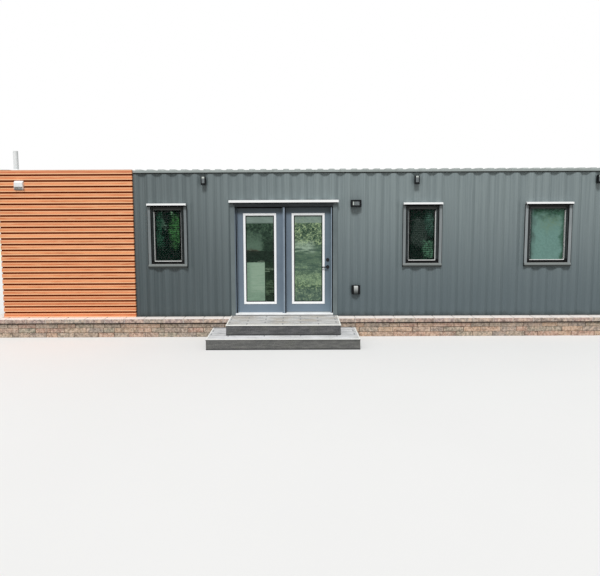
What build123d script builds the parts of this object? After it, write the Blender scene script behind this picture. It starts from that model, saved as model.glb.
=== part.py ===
"""A forty-foot high-cube steel shipping container set up as a cabin.

The frame: X along the front to the right, Y from the front to the back, Z up,
origin on the ground under the middle of the container. All sizes are in millimetres.
"""
import os
from math import atan2, ceil, floor, tan

from build123d import *

os.makedirs("parts", exist_ok=True)

# The container's outer size and the ground works that carry it
CONTAINER_LENGTH = 12192
CONTAINER_WIDTH = 2438
CONTAINER_HEIGHT = 2896
FOUNDATION_HEIGHT = 160

# Corner castings
CASTING_LENGTH = 178
CASTING_WIDTH = 162
CASTING_HEIGHT = 118
CASTING_SIDE_WALL = 28
CASTING_SLOT_LENGTH = 124
CASTING_SLOT_WIDTH = 64
CASTING_EYE_HEIGHT = 79
CASTING_EYE_WIDTH = 51

# Rails, posts and beams of the steel frame
BOTTOM_RAIL_HEIGHT = 158
BOTTOM_RAIL_FLANGE = 48
BOTTOM_RAIL_PLATE = 4.5
BOTTOM_RAIL_LIFT = 12.5
TOP_RAIL_SIDE = 60
TOP_RAIL_PLATE = 4
TOP_RAIL_DROP = 24
POST_PLATE = 6
BEAM_HEIGHT = 122
BEAM_FLANGE = 45
BEAM_PLATE = 4.5
BEAM_PITCH = 305
BEAM_CLEARANCE = 1

# Corrugated wall sheets
SHEET = 2
SHEET_INSET = 8
RIDGE_PITCH = 278
RIDGE_FLAT = 72
RIDGE_SLOPE = 68
RIDGE_DEPTH = 36
RIDGE_OFFSET = -24

# Pressed roof sheet
ROOF_SHEET = 2
ROOF_RIB_PITCH = 207.6
ROOF_RIB_BASE = 118
ROOF_RIB_HEIGHT = 18
ROOF_RIB_SLOPE_DEGREES = 36
ROOF_RIB_OFFSET = -39
ROOF_RIB_EDGE = 45
ROOF_END_PLATE = 385
ROOF_EDGE_LAP = 10

# Insulated lining, floor and ceiling
WALL_THICKNESS = 145
FLOOR_TOP = 356
CEILING_THICKNESS = 38

# Brick skirt, its cap and the concrete steps
SKIRT_THICKNESS = 200
SKIRT_HEIGHT = 258
CAP_THICKNESS = 87
CAP_OVERHANG = 20
CAP_CHAMFER = 6
UPPER_STEP_MARGIN = 11
UPPER_STEP_DEPTH = 823
LOWER_STEP_MARGIN = 305
LOWER_STEP_DEPTH = 1106
LOWER_STEP_HEIGHT = 177
STEP_EDGE_RADIUS = 14

# Boarded cladding at the left end
CLADDING_WIDTH = 2440
CLADDING_THICKNESS = 55
CLADDING_DROP = 10
BOARD_WIDTH = 89
BOARD_PITCH = 104.3
BOARD_THICKNESS = 22

# Doorway, door frame and the two leaves
DOOR_CENTRE = 5180
DOOR_CLEAR_WIDTH = 1720
DOOR_SURROUND_SIDE = 80
DOOR_SURROUND_HEAD = 52
DOOR_FLASHING_OVERHANG = 18
DOOR_FLASHING_HEIGHT = 44
DOOR_FLASHING_FALL = 6
DOOR_FLASHING_REACH = 75
FLASHING_SHEET = 2.5
FRAME_FACE = 40
FRAME_SETBACK = 15
MULLION_FACE = 68
THRESHOLD_TOP = 396
THRESHOLD_LIP = 20
THRESHOLD_LIP_THICKNESS = 16
THRESHOLD_FALL = 12
DOOR_HEAD_Z = 2352
LEAF_THICKNESS = 44.5
LEAF_GAP = 7
LEAF_OVERLAP = 7
LEAF_STOP_GAP = 5
LEAF_FOOT_GAP = 6
LEAF_STILE = 115
LEAF_TOP_RAIL = 115
LEAF_BOTTOM_RAIL = 155
LITE_BORDER = 42
LITE_LAP = 24
LITE_PROUD = 10
LITE_CHAMFER = 4
DOOR_GLASS = 20
HINGE_HEIGHT = 100
HINGE_RADIUS = 7
HINGE_PIN_RADIUS = 3.5
HINGE_PIN_CLEARANCE = 0.3
HINGE_KNUCKLE_GAP = 0.5
HINGE_WING = 24
HINGE_WING_PLATE = 3
HINGE_RISE = 0.5
HINGE_END_DISTANCE = 230
LEVER_Z = 1245
DEADBOLT_Z = 1379
LOCK_BACKSET = 60
ROSE_RADIUS = 32
ROSE_THICKNESS = 9
LEVER_NECK_RADIUS = 10
LEVER_NECK = 40
LEVER_LENGTH = 118
LEVER_WIDTH = 20
LEVER_THICKNESS = 12
DEADBOLT_CYLINDER_RADIUS = 17
DEADBOLT_CYLINDER = 16
THUMB_TURN_LENGTH = 40
THUMB_TURN_WIDTH = 10

# Windows, left to right along the front
LEFT_WINDOW_CENTRE = 3045
LEFT_WINDOW_WIDTH = 610
MIDDLE_WINDOW_CENTRE = 7717
MIDDLE_WINDOW_WIDTH = 610
RIGHT_WINDOW_CENTRE = 10018
RIGHT_WINDOW_WIDTH = 750
WINDOW_SILL_Z = 1317
WINDOW_HEIGHT = 1067
WINDOW_SURROUND = 50
WINDOW_LEDGE_REACH = 20
WINDOW_LEDGE_FALL = 5
WINDOW_LEDGE_DROP = 17
WINDOW_FRAME_FACE = 38
WINDOW_FRAME_SETBACK = 12
WINDOW_FRAME_DEPTH = 70
SASH_FACE = 36
SASH_SETBACK = 26
SASH_DEPTH = 40
WINDOW_GLASS = 18
BEAD_FACE = 18
BEAD_DEPTH = 40
WINDOW_FLASHING_OVERHANG = 2
WINDOW_FLASHING_HEIGHT = 41
WINDOW_FLASHING_REACH = 60
WINDOW_FLASHING_FALL = 5
WINDOW_FLASHING_BACK = 30
BLIND_DEPTH = 25
BLIND_SETBACK = 105
BLIND_SIDE_GAP = 6

# Lights, socket cover, vent hood and vent pipe
LEFT_LIGHT_CENTRE = 3727
MIDDLE_LIGHT_CENTRE = 7597
RIGHT_LIGHT_CENTRE = 10900
WALL_LIGHT_DROP = 217
WALL_LIGHT_WIDTH = 84
WALL_LIGHT_HEIGHT = 152
WALL_LIGHT_REACH = 60
WALL_LIGHT_FOOT = 40
WALL_LIGHT_SHELL = 6
WALL_LIGHT_RECESS = 12
DOOR_LAMP_CENTRE = 6496
DOOR_LAMP_Z = 2418
DOOR_LAMP_WIDTH = 191
DOOR_LAMP_HEIGHT = 135
DOOR_LAMP_REACH = 70
DOOR_LAMP_FOOT = 56
DOOR_LAMP_BEZEL = 26
DOOR_LAMP_RECESS = 14
DOOR_LAMP_CORNER = 14
SOCKET_CENTRE = 6500
SOCKET_Z = 831
SOCKET_WIDTH = 159
SOCKET_HEIGHT = 168
SOCKET_REACH = 60
SOCKET_FOOT = 56
SOCKET_BASE_REACH = 26
SOCKET_CORNER = 12
SOCKET_DOME_WIDTH = 92
SOCKET_DOME_HEIGHT = 150
SOCKET_EDGE_RADIUS = 20
HOOD_CENTRE = 406
HOOD_DROP = 287
HOOD_WIDTH = 157
HOOD_HEIGHT = 170
HOOD_REACH = 56
HOOD_SHELL = 4
HOOD_SLOPE = 34
HOOD_MOUTH_HEIGHT = 62
PIPE_CENTRE = 186
PIPE_SETBACK = 300
PIPE_RADIUS = 44
PIPE_WALL = 4
PIPE_HEIGHT = 381
PIPE_BOOT_RADIUS = 82
PIPE_BOOT_HEIGHT = 46

# Places worked out from the driving dimensions
HALF_LENGTH = CONTAINER_LENGTH / 2
HALF_WIDTH = CONTAINER_WIDTH / 2
LEFT_END = -HALF_LENGTH
FRONT = -HALF_WIDTH
CONTAINER_TOP = FOUNDATION_HEIGHT + CONTAINER_HEIGHT
BOTTOM_RAIL_BASE = FOUNDATION_HEIGHT + BOTTOM_RAIL_LIFT
BOTTOM_RAIL_TOP = BOTTOM_RAIL_BASE + BOTTOM_RAIL_HEIGHT
TOP_RAIL_TOP = CONTAINER_TOP - TOP_RAIL_DROP
TOP_RAIL_BASE = TOP_RAIL_TOP - TOP_RAIL_SIDE
SHEET_ZONE = SHEET_INSET + RIDGE_DEPTH + SHEET
ROOM_HALF_LENGTH = HALF_LENGTH - WALL_THICKNESS
ROOM_HALF_WIDTH = HALF_WIDTH - WALL_THICKNESS
CEILING_Z = CONTAINER_TOP - CASTING_HEIGHT - CEILING_THICKNESS
CAP_TOP = SKIRT_HEIGHT + CAP_THICKNESS
DOOR_X = LEFT_END + DOOR_CENTRE
FRAME_HALF = DOOR_CLEAR_WIDTH / 2 + FRAME_FACE
SURROUND_HALF = FRAME_HALF + DOOR_SURROUND_SIDE
STEP_LEFT = DOOR_X - SURROUND_HALF - UPPER_STEP_MARGIN
STEP_RIGHT = DOOR_X + SURROUND_HALF + UPPER_STEP_MARGIN
FRAME_TOP = DOOR_HEAD_Z + FRAME_FACE
SURROUND_TOP = FRAME_TOP + DOOR_SURROUND_HEAD
REBATE = LEAF_OVERLAP + LEAF_GAP
LEAF_BACK = WALL_THICKNESS
LEAF_FACE = LEAF_BACK - LEAF_THICKNESS
STOP_FACE = LEAF_FACE - LEAF_STOP_GAP
SIGHT_WIDTH = (DOOR_CLEAR_WIDTH - MULLION_FACE) / 2
LEAF_WIDTH = SIGHT_WIDTH + 2 * LEAF_OVERLAP
LEAF_BASE = THRESHOLD_TOP + LEAF_FOOT_GAP
LEAF_TOP = DOOR_HEAD_Z + LEAF_OVERLAP
LITE_WIDTH = LEAF_WIDTH - 2 * LEAF_STILE
LITE_HEIGHT = LEAF_TOP - LEAF_TOP_RAIL - THRESHOLD_TOP - LEAF_BOTTOM_RAIL
LITE_CENTRE_Z = THRESHOLD_TOP + LEAF_BOTTOM_RAIL + LITE_HEIGHT / 2
FIXED_LEAF_X = DOOR_X - (MULLION_FACE + SIGHT_WIDTH) / 2
ACTIVE_LEAF_X = DOOR_X + (MULLION_FACE + SIGHT_WIDTH) / 2
HINGE_X = ACTIVE_LEAF_X - LEAF_WIDTH / 2 - LEAF_GAP / 2
HINGE_Y = FRONT + LEAF_BACK + HINGE_RADIUS + HINGE_RISE
LOCK_X = ACTIVE_LEAF_X + LEAF_WIDTH / 2 - LOCK_BACKSET
WINDOW_MIDDLE_Z = WINDOW_SILL_Z + WINDOW_HEIGHT / 2
CLADDING_TOP = CONTAINER_TOP - CLADDING_DROP
WALL_LIGHT_Z = CONTAINER_TOP - WALL_LIGHT_DROP
HOOD_Z = CONTAINER_TOP - HOOD_DROP
WINDOWS = (
    (LEFT_END + LEFT_WINDOW_CENTRE, LEFT_WINDOW_WIDTH),
    (LEFT_END + MIDDLE_WINDOW_CENTRE, MIDDLE_WINDOW_WIDTH),
    (LEFT_END + RIGHT_WINDOW_CENTRE, RIGHT_WINDOW_WIDTH),
)


def front_plane(depth):
    """A plane facing the viewer, so far behind the container's front face; its Y is up."""
    return Plane.XZ.offset(HALF_WIDTH - depth)


def section_plane(x):
    """A plane across the container at x; its X runs from front to back and its Y is up."""
    return Plane.YZ.offset(x)


def slab(x_low, x_high, y_low, y_high, z_low, z_high, mode=Mode.ADD):
    """A plain slab between two corners, joined to the open part or cut from it."""
    with BuildSketch(Plane.XY.offset(z_low)) as footprint:
        with Locations(((x_low + x_high) / 2, (y_low + y_high) / 2)):
            Rectangle(x_high - x_low, y_high - y_low)
    extrude(footprint.sketch, amount=z_high - z_low, mode=mode)


def ring(x, z, width, height, border, front, back):
    """A rectangular ring in the front wall, between two depths behind the front face."""
    with BuildSketch(front_plane(front)) as face:
        with Locations((x, z)):
            Rectangle(width, height)
            Rectangle(width - 2 * border, height - 2 * border, mode=Mode.SUBTRACT)
    extrude(face.sketch, amount=front - back)


def pane(x, z, width, height, front, back, mode=Mode.ADD):
    """A rectangular plate in the front wall, or a cut of that shape."""
    with BuildSketch(front_plane(front)) as face:
        with Locations((x, z)):
            Rectangle(width, height)
    extrude(face.sketch, amount=front - back, mode=mode)


def ridge_centres(length):
    """Places of the ridges that fit whole on a sheet of this length."""
    reach = length / 2 - RIDGE_FLAT / 2 - RIDGE_SLOPE
    first = ceil((-reach - RIDGE_OFFSET) / RIDGE_PITCH)
    last = floor((reach - RIDGE_OFFSET) / RIDGE_PITCH)
    return [RIDGE_OFFSET + index * RIDGE_PITCH for index in range(first, last + 1)]


def sheet_outline(length):
    """Section of a corrugated sheet: along its outer face, and back along its inner one."""
    pull = SHEET * tan(atan2(RIDGE_DEPTH, RIDGE_SLOPE) / 2)
    half = RIDGE_FLAT / 2
    foot = half + RIDGE_SLOPE
    outer = [(-length / 2, RIDGE_DEPTH)]
    inner = [(-length / 2, RIDGE_DEPTH + SHEET)]
    for centre in ridge_centres(length):
        outer += [(centre - foot, RIDGE_DEPTH), (centre - half, 0)]
        outer += [(centre + half, 0), (centre + foot, RIDGE_DEPTH)]
        inner += [(centre - foot + pull, RIDGE_DEPTH + SHEET), (centre - half + pull, SHEET)]
        inner += [(centre + half - pull, SHEET), (centre + foot - pull, RIDGE_DEPTH + SHEET)]
    outer.append((length / 2, RIDGE_DEPTH))
    inner.append((length / 2, RIDGE_DEPTH + SHEET))
    return outer + inner[::-1]


def corrugated_wall(plane, length):
    """A corrugated sheet from the bottom rail to the top rail, notched round the top castings."""
    with BuildSketch(plane) as section:
        with BuildLine():
            Polyline(*sheet_outline(length), close=True)
        make_face()
    extrude(section.sketch, amount=TOP_RAIL_BASE - BOTTOM_RAIL_TOP)
    for x_side in (-1, 1):
        for y_side in (-1, 1):
            x_middle = x_side * (HALF_LENGTH - CASTING_LENGTH / 2)
            y_middle = y_side * (HALF_WIDTH - CASTING_WIDTH / 2)
            slab(
                x_middle - CASTING_LENGTH / 2, x_middle + CASTING_LENGTH / 2,
                y_middle - CASTING_WIDTH / 2, y_middle + CASTING_WIDTH / 2,
                CONTAINER_TOP - CASTING_HEIGHT, CONTAINER_TOP, Mode.SUBTRACT,
            )


def folded_flashing(x_low, x_high, back, reach, top, fall, front_leg, back_leg):
    """A flashing folded from sheet: a leg on the wall, a falling top and a leg in front."""
    nose = back - reach
    nose_top = top - fall
    with BuildSketch(section_plane(x_low)) as section:
        with BuildLine():
            Polyline(
                (back, top - back_leg),
                (back, top),
                (nose, nose_top),
                (nose, nose_top - front_leg),
                (nose + FLASHING_SHEET, nose_top - front_leg),
                (nose + FLASHING_SHEET, nose_top - FLASHING_SHEET),
                (back - FLASHING_SHEET, top - FLASHING_SHEET),
                (back - FLASHING_SHEET, top - back_leg),
                close=True,
            )
        make_face()
    extrude(section.sketch, amount=x_high - x_low)


def ledge(x, width):
    """The sill ledge on the foot of a window surround, its top falling towards the viewer."""
    nose = FRONT - WINDOW_LEDGE_REACH
    base = WINDOW_SILL_Z - WINDOW_SURROUND - WINDOW_LEDGE_DROP
    with BuildSketch(section_plane(x - width / 2)) as section:
        with BuildLine():
            Polyline(
                (FRONT, base),
                (nose, base),
                (nose, WINDOW_SILL_Z - WINDOW_LEDGE_FALL),
                (FRONT, WINDOW_SILL_Z),
                close=True,
            )
        make_face()
    extrude(section.sketch, amount=width)


def front_depth(x):
    """How far the front sheet's outer face lies behind the container's front face at x."""
    nearest = RIDGE_OFFSET + RIDGE_PITCH * round((x - RIDGE_OFFSET) / RIDGE_PITCH)
    past_flat = abs(x - nearest) - RIDGE_FLAT / 2
    share = min(max(past_flat / RIDGE_SLOPE, 0), 1)
    return SHEET_INSET + share * RIDGE_DEPTH


def foot_depth(x, width):
    """Depth at which a foot of this width meets the corrugated front sheet."""
    return min(front_depth(x - width / 2), front_depth(x + width / 2))


# Concrete foundation under the container
with BuildPart() as foundation:
    slab(-HALF_LENGTH, HALF_LENGTH, -HALF_WIDTH, HALF_WIDTH, 0, FOUNDATION_HEIGHT)
foundation.part.label = "foundation"
export_step(foundation.part, "parts/foundation.step")

# Brick skirt round the foundation, left open at the steps
SKIRT_REACH = HALF_LENGTH + SKIRT_THICKNESS
with BuildPart() as front_skirt:
    slab(-SKIRT_REACH, STEP_LEFT, FRONT - SKIRT_THICKNESS, FRONT, 0, SKIRT_HEIGHT)
    slab(STEP_RIGHT, SKIRT_REACH, FRONT - SKIRT_THICKNESS, FRONT, 0, SKIRT_HEIGHT)
front_skirt.part.label = "front_skirt"
export_step(front_skirt.part, "parts/front_skirt.step")

with BuildPart() as back_skirt:
    slab(-SKIRT_REACH, SKIRT_REACH, HALF_WIDTH, HALF_WIDTH + SKIRT_THICKNESS, 0, SKIRT_HEIGHT)
back_skirt.part.label = "back_skirt"
export_step(back_skirt.part, "parts/back_skirt.step")

with BuildPart() as end_skirts:
    slab(HALF_LENGTH, SKIRT_REACH, FRONT, HALF_WIDTH, 0, SKIRT_HEIGHT)
    mirror(about=Plane.YZ)
end_skirts.part.label = "end_skirts"
export_step(end_skirts.part, "parts/end_skirts.step")

# Cap course on the skirt, with a small drip overhang and eased top edges
CAP_REACH = SKIRT_REACH + CAP_OVERHANG
CAP_DEPTH = SKIRT_THICKNESS + CAP_OVERHANG
with BuildPart() as front_cap:
    slab(-CAP_REACH, STEP_LEFT, FRONT - CAP_DEPTH, FRONT, SKIRT_HEIGHT, CAP_TOP)
    slab(STEP_RIGHT, CAP_REACH, FRONT - CAP_DEPTH, FRONT, SKIRT_HEIGHT, CAP_TOP)
    front_edges = front_cap.edges().filter_by(Axis.X).group_by(Axis.Y)[0]
    chamfer(front_edges.group_by(Axis.Z)[-1], CAP_CHAMFER)
front_cap.part.label = "front_cap"
export_step(front_cap.part, "parts/front_cap.step")

with BuildPart() as back_cap:
    slab(-CAP_REACH, CAP_REACH, HALF_WIDTH, HALF_WIDTH + CAP_DEPTH, SKIRT_HEIGHT, CAP_TOP)
    back_edges = back_cap.edges().filter_by(Axis.X).group_by(Axis.Y)[-1]
    chamfer(back_edges.group_by(Axis.Z)[-1], CAP_CHAMFER)
back_cap.part.label = "back_cap"
export_step(back_cap.part, "parts/back_cap.step")

with BuildPart() as end_caps:
    slab(HALF_LENGTH, CAP_REACH, FRONT, HALF_WIDTH, SKIRT_HEIGHT, CAP_TOP)
    outer_edges = end_caps.edges().filter_by(Axis.Y).group_by(Axis.X)[-1]
    chamfer(outer_edges.group_by(Axis.Z)[-1], CAP_CHAMFER)
    mirror(about=Plane.YZ)
end_caps.part.label = "end_caps"
export_step(end_caps.part, "parts/end_caps.step")

# Cast concrete steps: a wide lower one, and an upper one that runs back to the sill
with BuildPart() as lower_step:
    slab(
        STEP_LEFT - LOWER_STEP_MARGIN, STEP_RIGHT + LOWER_STEP_MARGIN,
        FRONT - LOWER_STEP_DEPTH, FRONT - SKIRT_THICKNESS, 0, LOWER_STEP_HEIGHT,
    )
    top_edges = lower_step.faces().sort_by(Axis.Z)[-1].edges()
    back_edge = top_edges.filter_by(Axis.X).sort_by(Axis.Y)[-1]
    fillet([edge for edge in top_edges if edge != back_edge], STEP_EDGE_RADIUS)
lower_step.part.label = "lower_step"
export_step(lower_step.part, "parts/lower_step.step")

with BuildPart() as upper_step:
    with BuildSketch(section_plane(STEP_LEFT)):
        with BuildLine():
            Polyline(
                (FRONT - UPPER_STEP_DEPTH, LOWER_STEP_HEIGHT),
                (FRONT - UPPER_STEP_DEPTH, FLOOR_TOP),
                (FRONT, FLOOR_TOP),
                (FRONT, 0),
                (FRONT - SKIRT_THICKNESS, 0),
                (FRONT - SKIRT_THICKNESS, LOWER_STEP_HEIGHT),
                close=True,
            )
        make_face()
    extrude(amount=STEP_RIGHT - STEP_LEFT)
    top_edges = upper_step.faces().sort_by(Axis.Z)[-1].edges()
    front_edge = top_edges.filter_by(Axis.X).sort_by(Axis.Y)[0]
    fillet([front_edge] + list(top_edges.filter_by(Axis.Y)), STEP_EDGE_RADIUS)
upper_step.part.label = "upper_step"
export_step(upper_step.part, "parts/upper_step.step")

# Corner castings: hollow blocks with a slot on top or underneath and an eye on each outer face
with BuildPart() as corner_castings:
    casting_x = LEFT_END + CASTING_LENGTH / 2
    casting_y = FRONT + CASTING_WIDTH / 2
    casting_z = FOUNDATION_HEIGHT + CASTING_HEIGHT / 2
    slab(
        LEFT_END, LEFT_END + CASTING_LENGTH, FRONT, FRONT + CASTING_WIDTH,
        FOUNDATION_HEIGHT, FOUNDATION_HEIGHT + CASTING_HEIGHT,
    )
    slab(
        LEFT_END + CASTING_SIDE_WALL, LEFT_END + CASTING_LENGTH - CASTING_SIDE_WALL,
        FRONT + CASTING_SIDE_WALL, FRONT + CASTING_WIDTH - CASTING_SIDE_WALL,
        FOUNDATION_HEIGHT + CASTING_SIDE_WALL,
        FOUNDATION_HEIGHT + CASTING_HEIGHT - CASTING_SIDE_WALL, Mode.SUBTRACT,
    )
    with BuildSketch(Plane.XY.offset(FOUNDATION_HEIGHT)):
        with Locations((casting_x, casting_y)):
            SlotOverall(CASTING_SLOT_LENGTH, CASTING_SLOT_WIDTH)
    extrude(amount=CASTING_SIDE_WALL, mode=Mode.SUBTRACT)
    with BuildSketch(front_plane(0)):
        with Locations((casting_x, casting_z)):
            SlotOverall(CASTING_EYE_HEIGHT, CASTING_EYE_WIDTH)
    extrude(amount=-CASTING_SIDE_WALL, mode=Mode.SUBTRACT)
    with BuildSketch(section_plane(LEFT_END)):
        with Locations((casting_y, casting_z)):
            SlotOverall(CASTING_EYE_HEIGHT, CASTING_EYE_WIDTH)
    extrude(amount=CASTING_SIDE_WALL, mode=Mode.SUBTRACT)
    mirror(about=Plane.XY.offset(FOUNDATION_HEIGHT + CONTAINER_HEIGHT / 2))
    mirror(about=Plane.XZ)
    mirror(about=Plane.YZ)
corner_castings.part.label = "corner_castings"
export_step(corner_castings.part, "parts/corner_castings.step")

# Corner posts of folded plate between the castings
POST_HOLE = WALL_THICKNESS - 2 * POST_PLATE
with BuildPart() as corner_posts:
    with BuildSketch(Plane.XY.offset(FOUNDATION_HEIGHT + CASTING_HEIGHT)):
        with Locations((LEFT_END + WALL_THICKNESS / 2, FRONT + WALL_THICKNESS / 2)):
            Rectangle(WALL_THICKNESS, WALL_THICKNESS)
            Rectangle(POST_HOLE, POST_HOLE, mode=Mode.SUBTRACT)
    extrude(amount=CONTAINER_HEIGHT - 2 * CASTING_HEIGHT)
    mirror(about=Plane.XZ)
    mirror(about=Plane.YZ)
corner_posts.part.label = "corner_posts"
export_step(corner_posts.part, "parts/corner_posts.step")


def channel_corners(back, toward):
    """A bottom rail's channel section, its web at back and its flanges running toward the room."""
    flange = back + toward * BOTTOM_RAIL_FLANGE
    web = back + toward * BOTTOM_RAIL_PLATE
    low = BOTTOM_RAIL_BASE
    inner_low = low + BOTTOM_RAIL_PLATE
    high = BOTTOM_RAIL_TOP
    inner_high = high - BOTTOM_RAIL_PLATE
    return [
        (back, low), (flange, low), (flange, inner_low), (web, inner_low),
        (web, inner_high), (flange, inner_high), (flange, high), (back, high),
    ]


# Side rails: channels at the floor and square tubes at the roof, between the castings
SIDE_RAIL_LENGTH = CONTAINER_LENGTH - 2 * CASTING_LENGTH
END_RAIL_LENGTH = CONTAINER_WIDTH - 2 * CASTING_WIDTH
TUBE_HOLE = TOP_RAIL_SIDE - 2 * TOP_RAIL_PLATE
TOP_RAIL_MIDDLE = TOP_RAIL_BASE + TOP_RAIL_SIDE / 2
with BuildPart() as bottom_side_rails:
    with BuildSketch(section_plane(-SIDE_RAIL_LENGTH / 2)):
        with BuildLine():
            Polyline(*channel_corners(FRONT, 1), close=True)
        make_face()
    extrude(amount=SIDE_RAIL_LENGTH)
    mirror(about=Plane.XZ)
bottom_side_rails.part.label = "bottom_side_rails"
export_step(bottom_side_rails.part, "parts/bottom_side_rails.step")

with BuildPart() as top_side_rails:
    with BuildSketch(section_plane(-SIDE_RAIL_LENGTH / 2)):
        with Locations((FRONT + TOP_RAIL_SIDE / 2, TOP_RAIL_MIDDLE)):
            Rectangle(TOP_RAIL_SIDE, TOP_RAIL_SIDE)
            Rectangle(TUBE_HOLE, TUBE_HOLE, mode=Mode.SUBTRACT)
    extrude(amount=SIDE_RAIL_LENGTH)
    mirror(about=Plane.XZ)
top_side_rails.part.label = "top_side_rails"
export_step(top_side_rails.part, "parts/top_side_rails.step")

# End rails: the same channel and tube across both ends
with BuildPart() as end_rails:
    with BuildSketch(front_plane(CASTING_WIDTH)):
        with BuildLine():
            Polyline(*channel_corners(LEFT_END, 1), close=True)
        make_face()
        with Locations((LEFT_END + TOP_RAIL_SIDE / 2, TOP_RAIL_MIDDLE)):
            Rectangle(TOP_RAIL_SIDE, TOP_RAIL_SIDE)
            Rectangle(TUBE_HOLE, TUBE_HOLE, mode=Mode.SUBTRACT)
    extrude(amount=-END_RAIL_LENGTH)
    mirror(about=Plane.YZ)
end_rails.part.label = "end_rails"
export_step(end_rails.part, "parts/end_rails.step")

# Floor beams across the container, between the webs of the bottom rails
BEAM_BASE = BOTTOM_RAIL_BASE + BOTTOM_RAIL_PLATE + BEAM_CLEARANCE
BEAM_TOP = BEAM_BASE + BEAM_HEIGHT
BEAM_SPAN = CONTAINER_WIDTH - 2 * BOTTOM_RAIL_PLATE
BEAM_COUNT = floor((SIDE_RAIL_LENGTH - 2 * BEAM_FLANGE) / BEAM_PITCH) + 1
with BuildPart() as floor_beams:
    with BuildSketch(front_plane(BOTTOM_RAIL_PLATE)):
        with Locations((0, BEAM_BASE + BEAM_HEIGHT / 2)):
            with GridLocations(BEAM_PITCH, 0, BEAM_COUNT, 1):
                Rectangle(BEAM_FLANGE, BEAM_HEIGHT)
                with Locations((BEAM_PLATE, 0)):
                    Rectangle(BEAM_FLANGE, BEAM_HEIGHT - 2 * BEAM_PLATE, mode=Mode.SUBTRACT)
    extrude(amount=-BEAM_SPAN)
floor_beams.part.label = "floor_beams"
export_step(floor_beams.part, "parts/floor_beams.step")

# Floor deck on the beams, notched round the corner posts
DECK_HALF_WIDTH = HALF_WIDTH - BOTTOM_RAIL_FLANGE
with BuildPart() as floor_deck:
    with BuildSketch(Plane.XY.offset(BEAM_TOP)):
        Rectangle(2 * ROOM_HALF_LENGTH, 2 * DECK_HALF_WIDTH)
        Rectangle(CONTAINER_LENGTH - 2 * BOTTOM_RAIL_FLANGE, 2 * ROOM_HALF_WIDTH)
    extrude(amount=FLOOR_TOP - BEAM_TOP)
floor_deck.part.label = "floor_deck"
export_step(floor_deck.part, "parts/floor_deck.step")

# Corrugated steel walls, welded between the rails and the corner posts
SIDE_SHEET_LENGTH = 2 * ROOM_HALF_LENGTH
END_SHEET_LENGTH = 2 * ROOM_HALF_WIDTH
UP = (0, 0, 1)
FRONT_SHEET_PLANE = Plane((0, FRONT + SHEET_INSET, BOTTOM_RAIL_TOP), x_dir=(1, 0, 0), z_dir=UP)
BACK_SHEET_PLANE = Plane((0, HALF_WIDTH - SHEET_INSET, BOTTOM_RAIL_TOP), x_dir=(-1, 0, 0), z_dir=UP)
LEFT_SHEET_PLANE = Plane((SHEET_INSET - HALF_LENGTH, 0, BOTTOM_RAIL_TOP), x_dir=(0, -1, 0), z_dir=UP)

with BuildPart() as front_walls:
    corrugated_wall(FRONT_SHEET_PLANE, SIDE_SHEET_LENGTH)
    slab(
        DOOR_X - SURROUND_HALF, DOOR_X + SURROUND_HALF, FRONT, FRONT + SHEET_ZONE,
        BOTTOM_RAIL_TOP, TOP_RAIL_BASE, Mode.SUBTRACT,
    )
    for window_x, window_width in WINDOWS:
        pane(
            window_x, WINDOW_MIDDLE_Z, window_width + 2 * WINDOW_SURROUND,
            WINDOW_HEIGHT + 2 * WINDOW_SURROUND, 0, SHEET_ZONE, Mode.SUBTRACT,
        )
front_walls.part.label = "front_walls"
export_step(front_walls.part, "parts/front_walls.step")

with BuildPart() as wall_over_door:
    corrugated_wall(FRONT_SHEET_PLANE, SIDE_SHEET_LENGTH)
    slab(
        DOOR_X - SURROUND_HALF, DOOR_X + SURROUND_HALF, FRONT, FRONT + SHEET_ZONE,
        SURROUND_TOP, TOP_RAIL_BASE, Mode.INTERSECT,
    )
wall_over_door.part.label = "wall_over_door"
export_step(wall_over_door.part, "parts/wall_over_door.step")

with BuildPart() as back_wall:
    corrugated_wall(BACK_SHEET_PLANE, SIDE_SHEET_LENGTH)
back_wall.part.label = "back_wall"
export_step(back_wall.part, "parts/back_wall.step")

with BuildPart() as end_walls:
    corrugated_wall(LEFT_SHEET_PLANE, END_SHEET_LENGTH)
    mirror(about=Plane.YZ)
end_walls.part.label = "end_walls"
export_step(end_walls.part, "parts/end_walls.step")

# Roof sheet on the top rails, with pressed ribs across it, hollow underneath
ROOF_TOP = TOP_RAIL_TOP + ROOF_SHEET
RIB_LENGTH = CONTAINER_WIDTH - 2 * ROOF_RIB_EDGE
RIB_REACH = HALF_LENGTH - ROOF_END_PLATE - ROOF_RIB_BASE / 2
FIRST_RIB = ceil((-RIB_REACH - ROOF_RIB_OFFSET) / ROOF_RIB_PITCH)
LAST_RIB = floor((RIB_REACH - ROOF_RIB_OFFSET) / ROOF_RIB_PITCH)
RIB_PLACES = [
    (ROOF_RIB_OFFSET + index * ROOF_RIB_PITCH, 0) for index in range(FIRST_RIB, LAST_RIB + 1)
]
with BuildPart() as roof:
    with BuildSketch(Plane.XY.offset(TOP_RAIL_TOP)):
        Rectangle(CONTAINER_LENGTH - 2 * CASTING_LENGTH, CONTAINER_WIDTH - 2 * ROOF_EDGE_LAP)
        Rectangle(CONTAINER_LENGTH - 2 * ROOF_EDGE_LAP, CONTAINER_WIDTH - 2 * CASTING_WIDTH)
    extrude(amount=ROOF_SHEET)
    with BuildSketch(Plane.XY.offset(ROOF_TOP)):
        with Locations(*RIB_PLACES):
            Rectangle(ROOF_RIB_BASE, RIB_LENGTH)
    extrude(amount=ROOF_RIB_HEIGHT, taper=ROOF_RIB_SLOPE_DEGREES)
    with BuildSketch(Plane.XY.offset(TOP_RAIL_TOP)):
        with Locations(*RIB_PLACES):
            Rectangle(ROOF_RIB_BASE, RIB_LENGTH)
    extrude(amount=ROOF_RIB_HEIGHT, taper=ROOF_RIB_SLOPE_DEGREES, mode=Mode.SUBTRACT)
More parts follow.
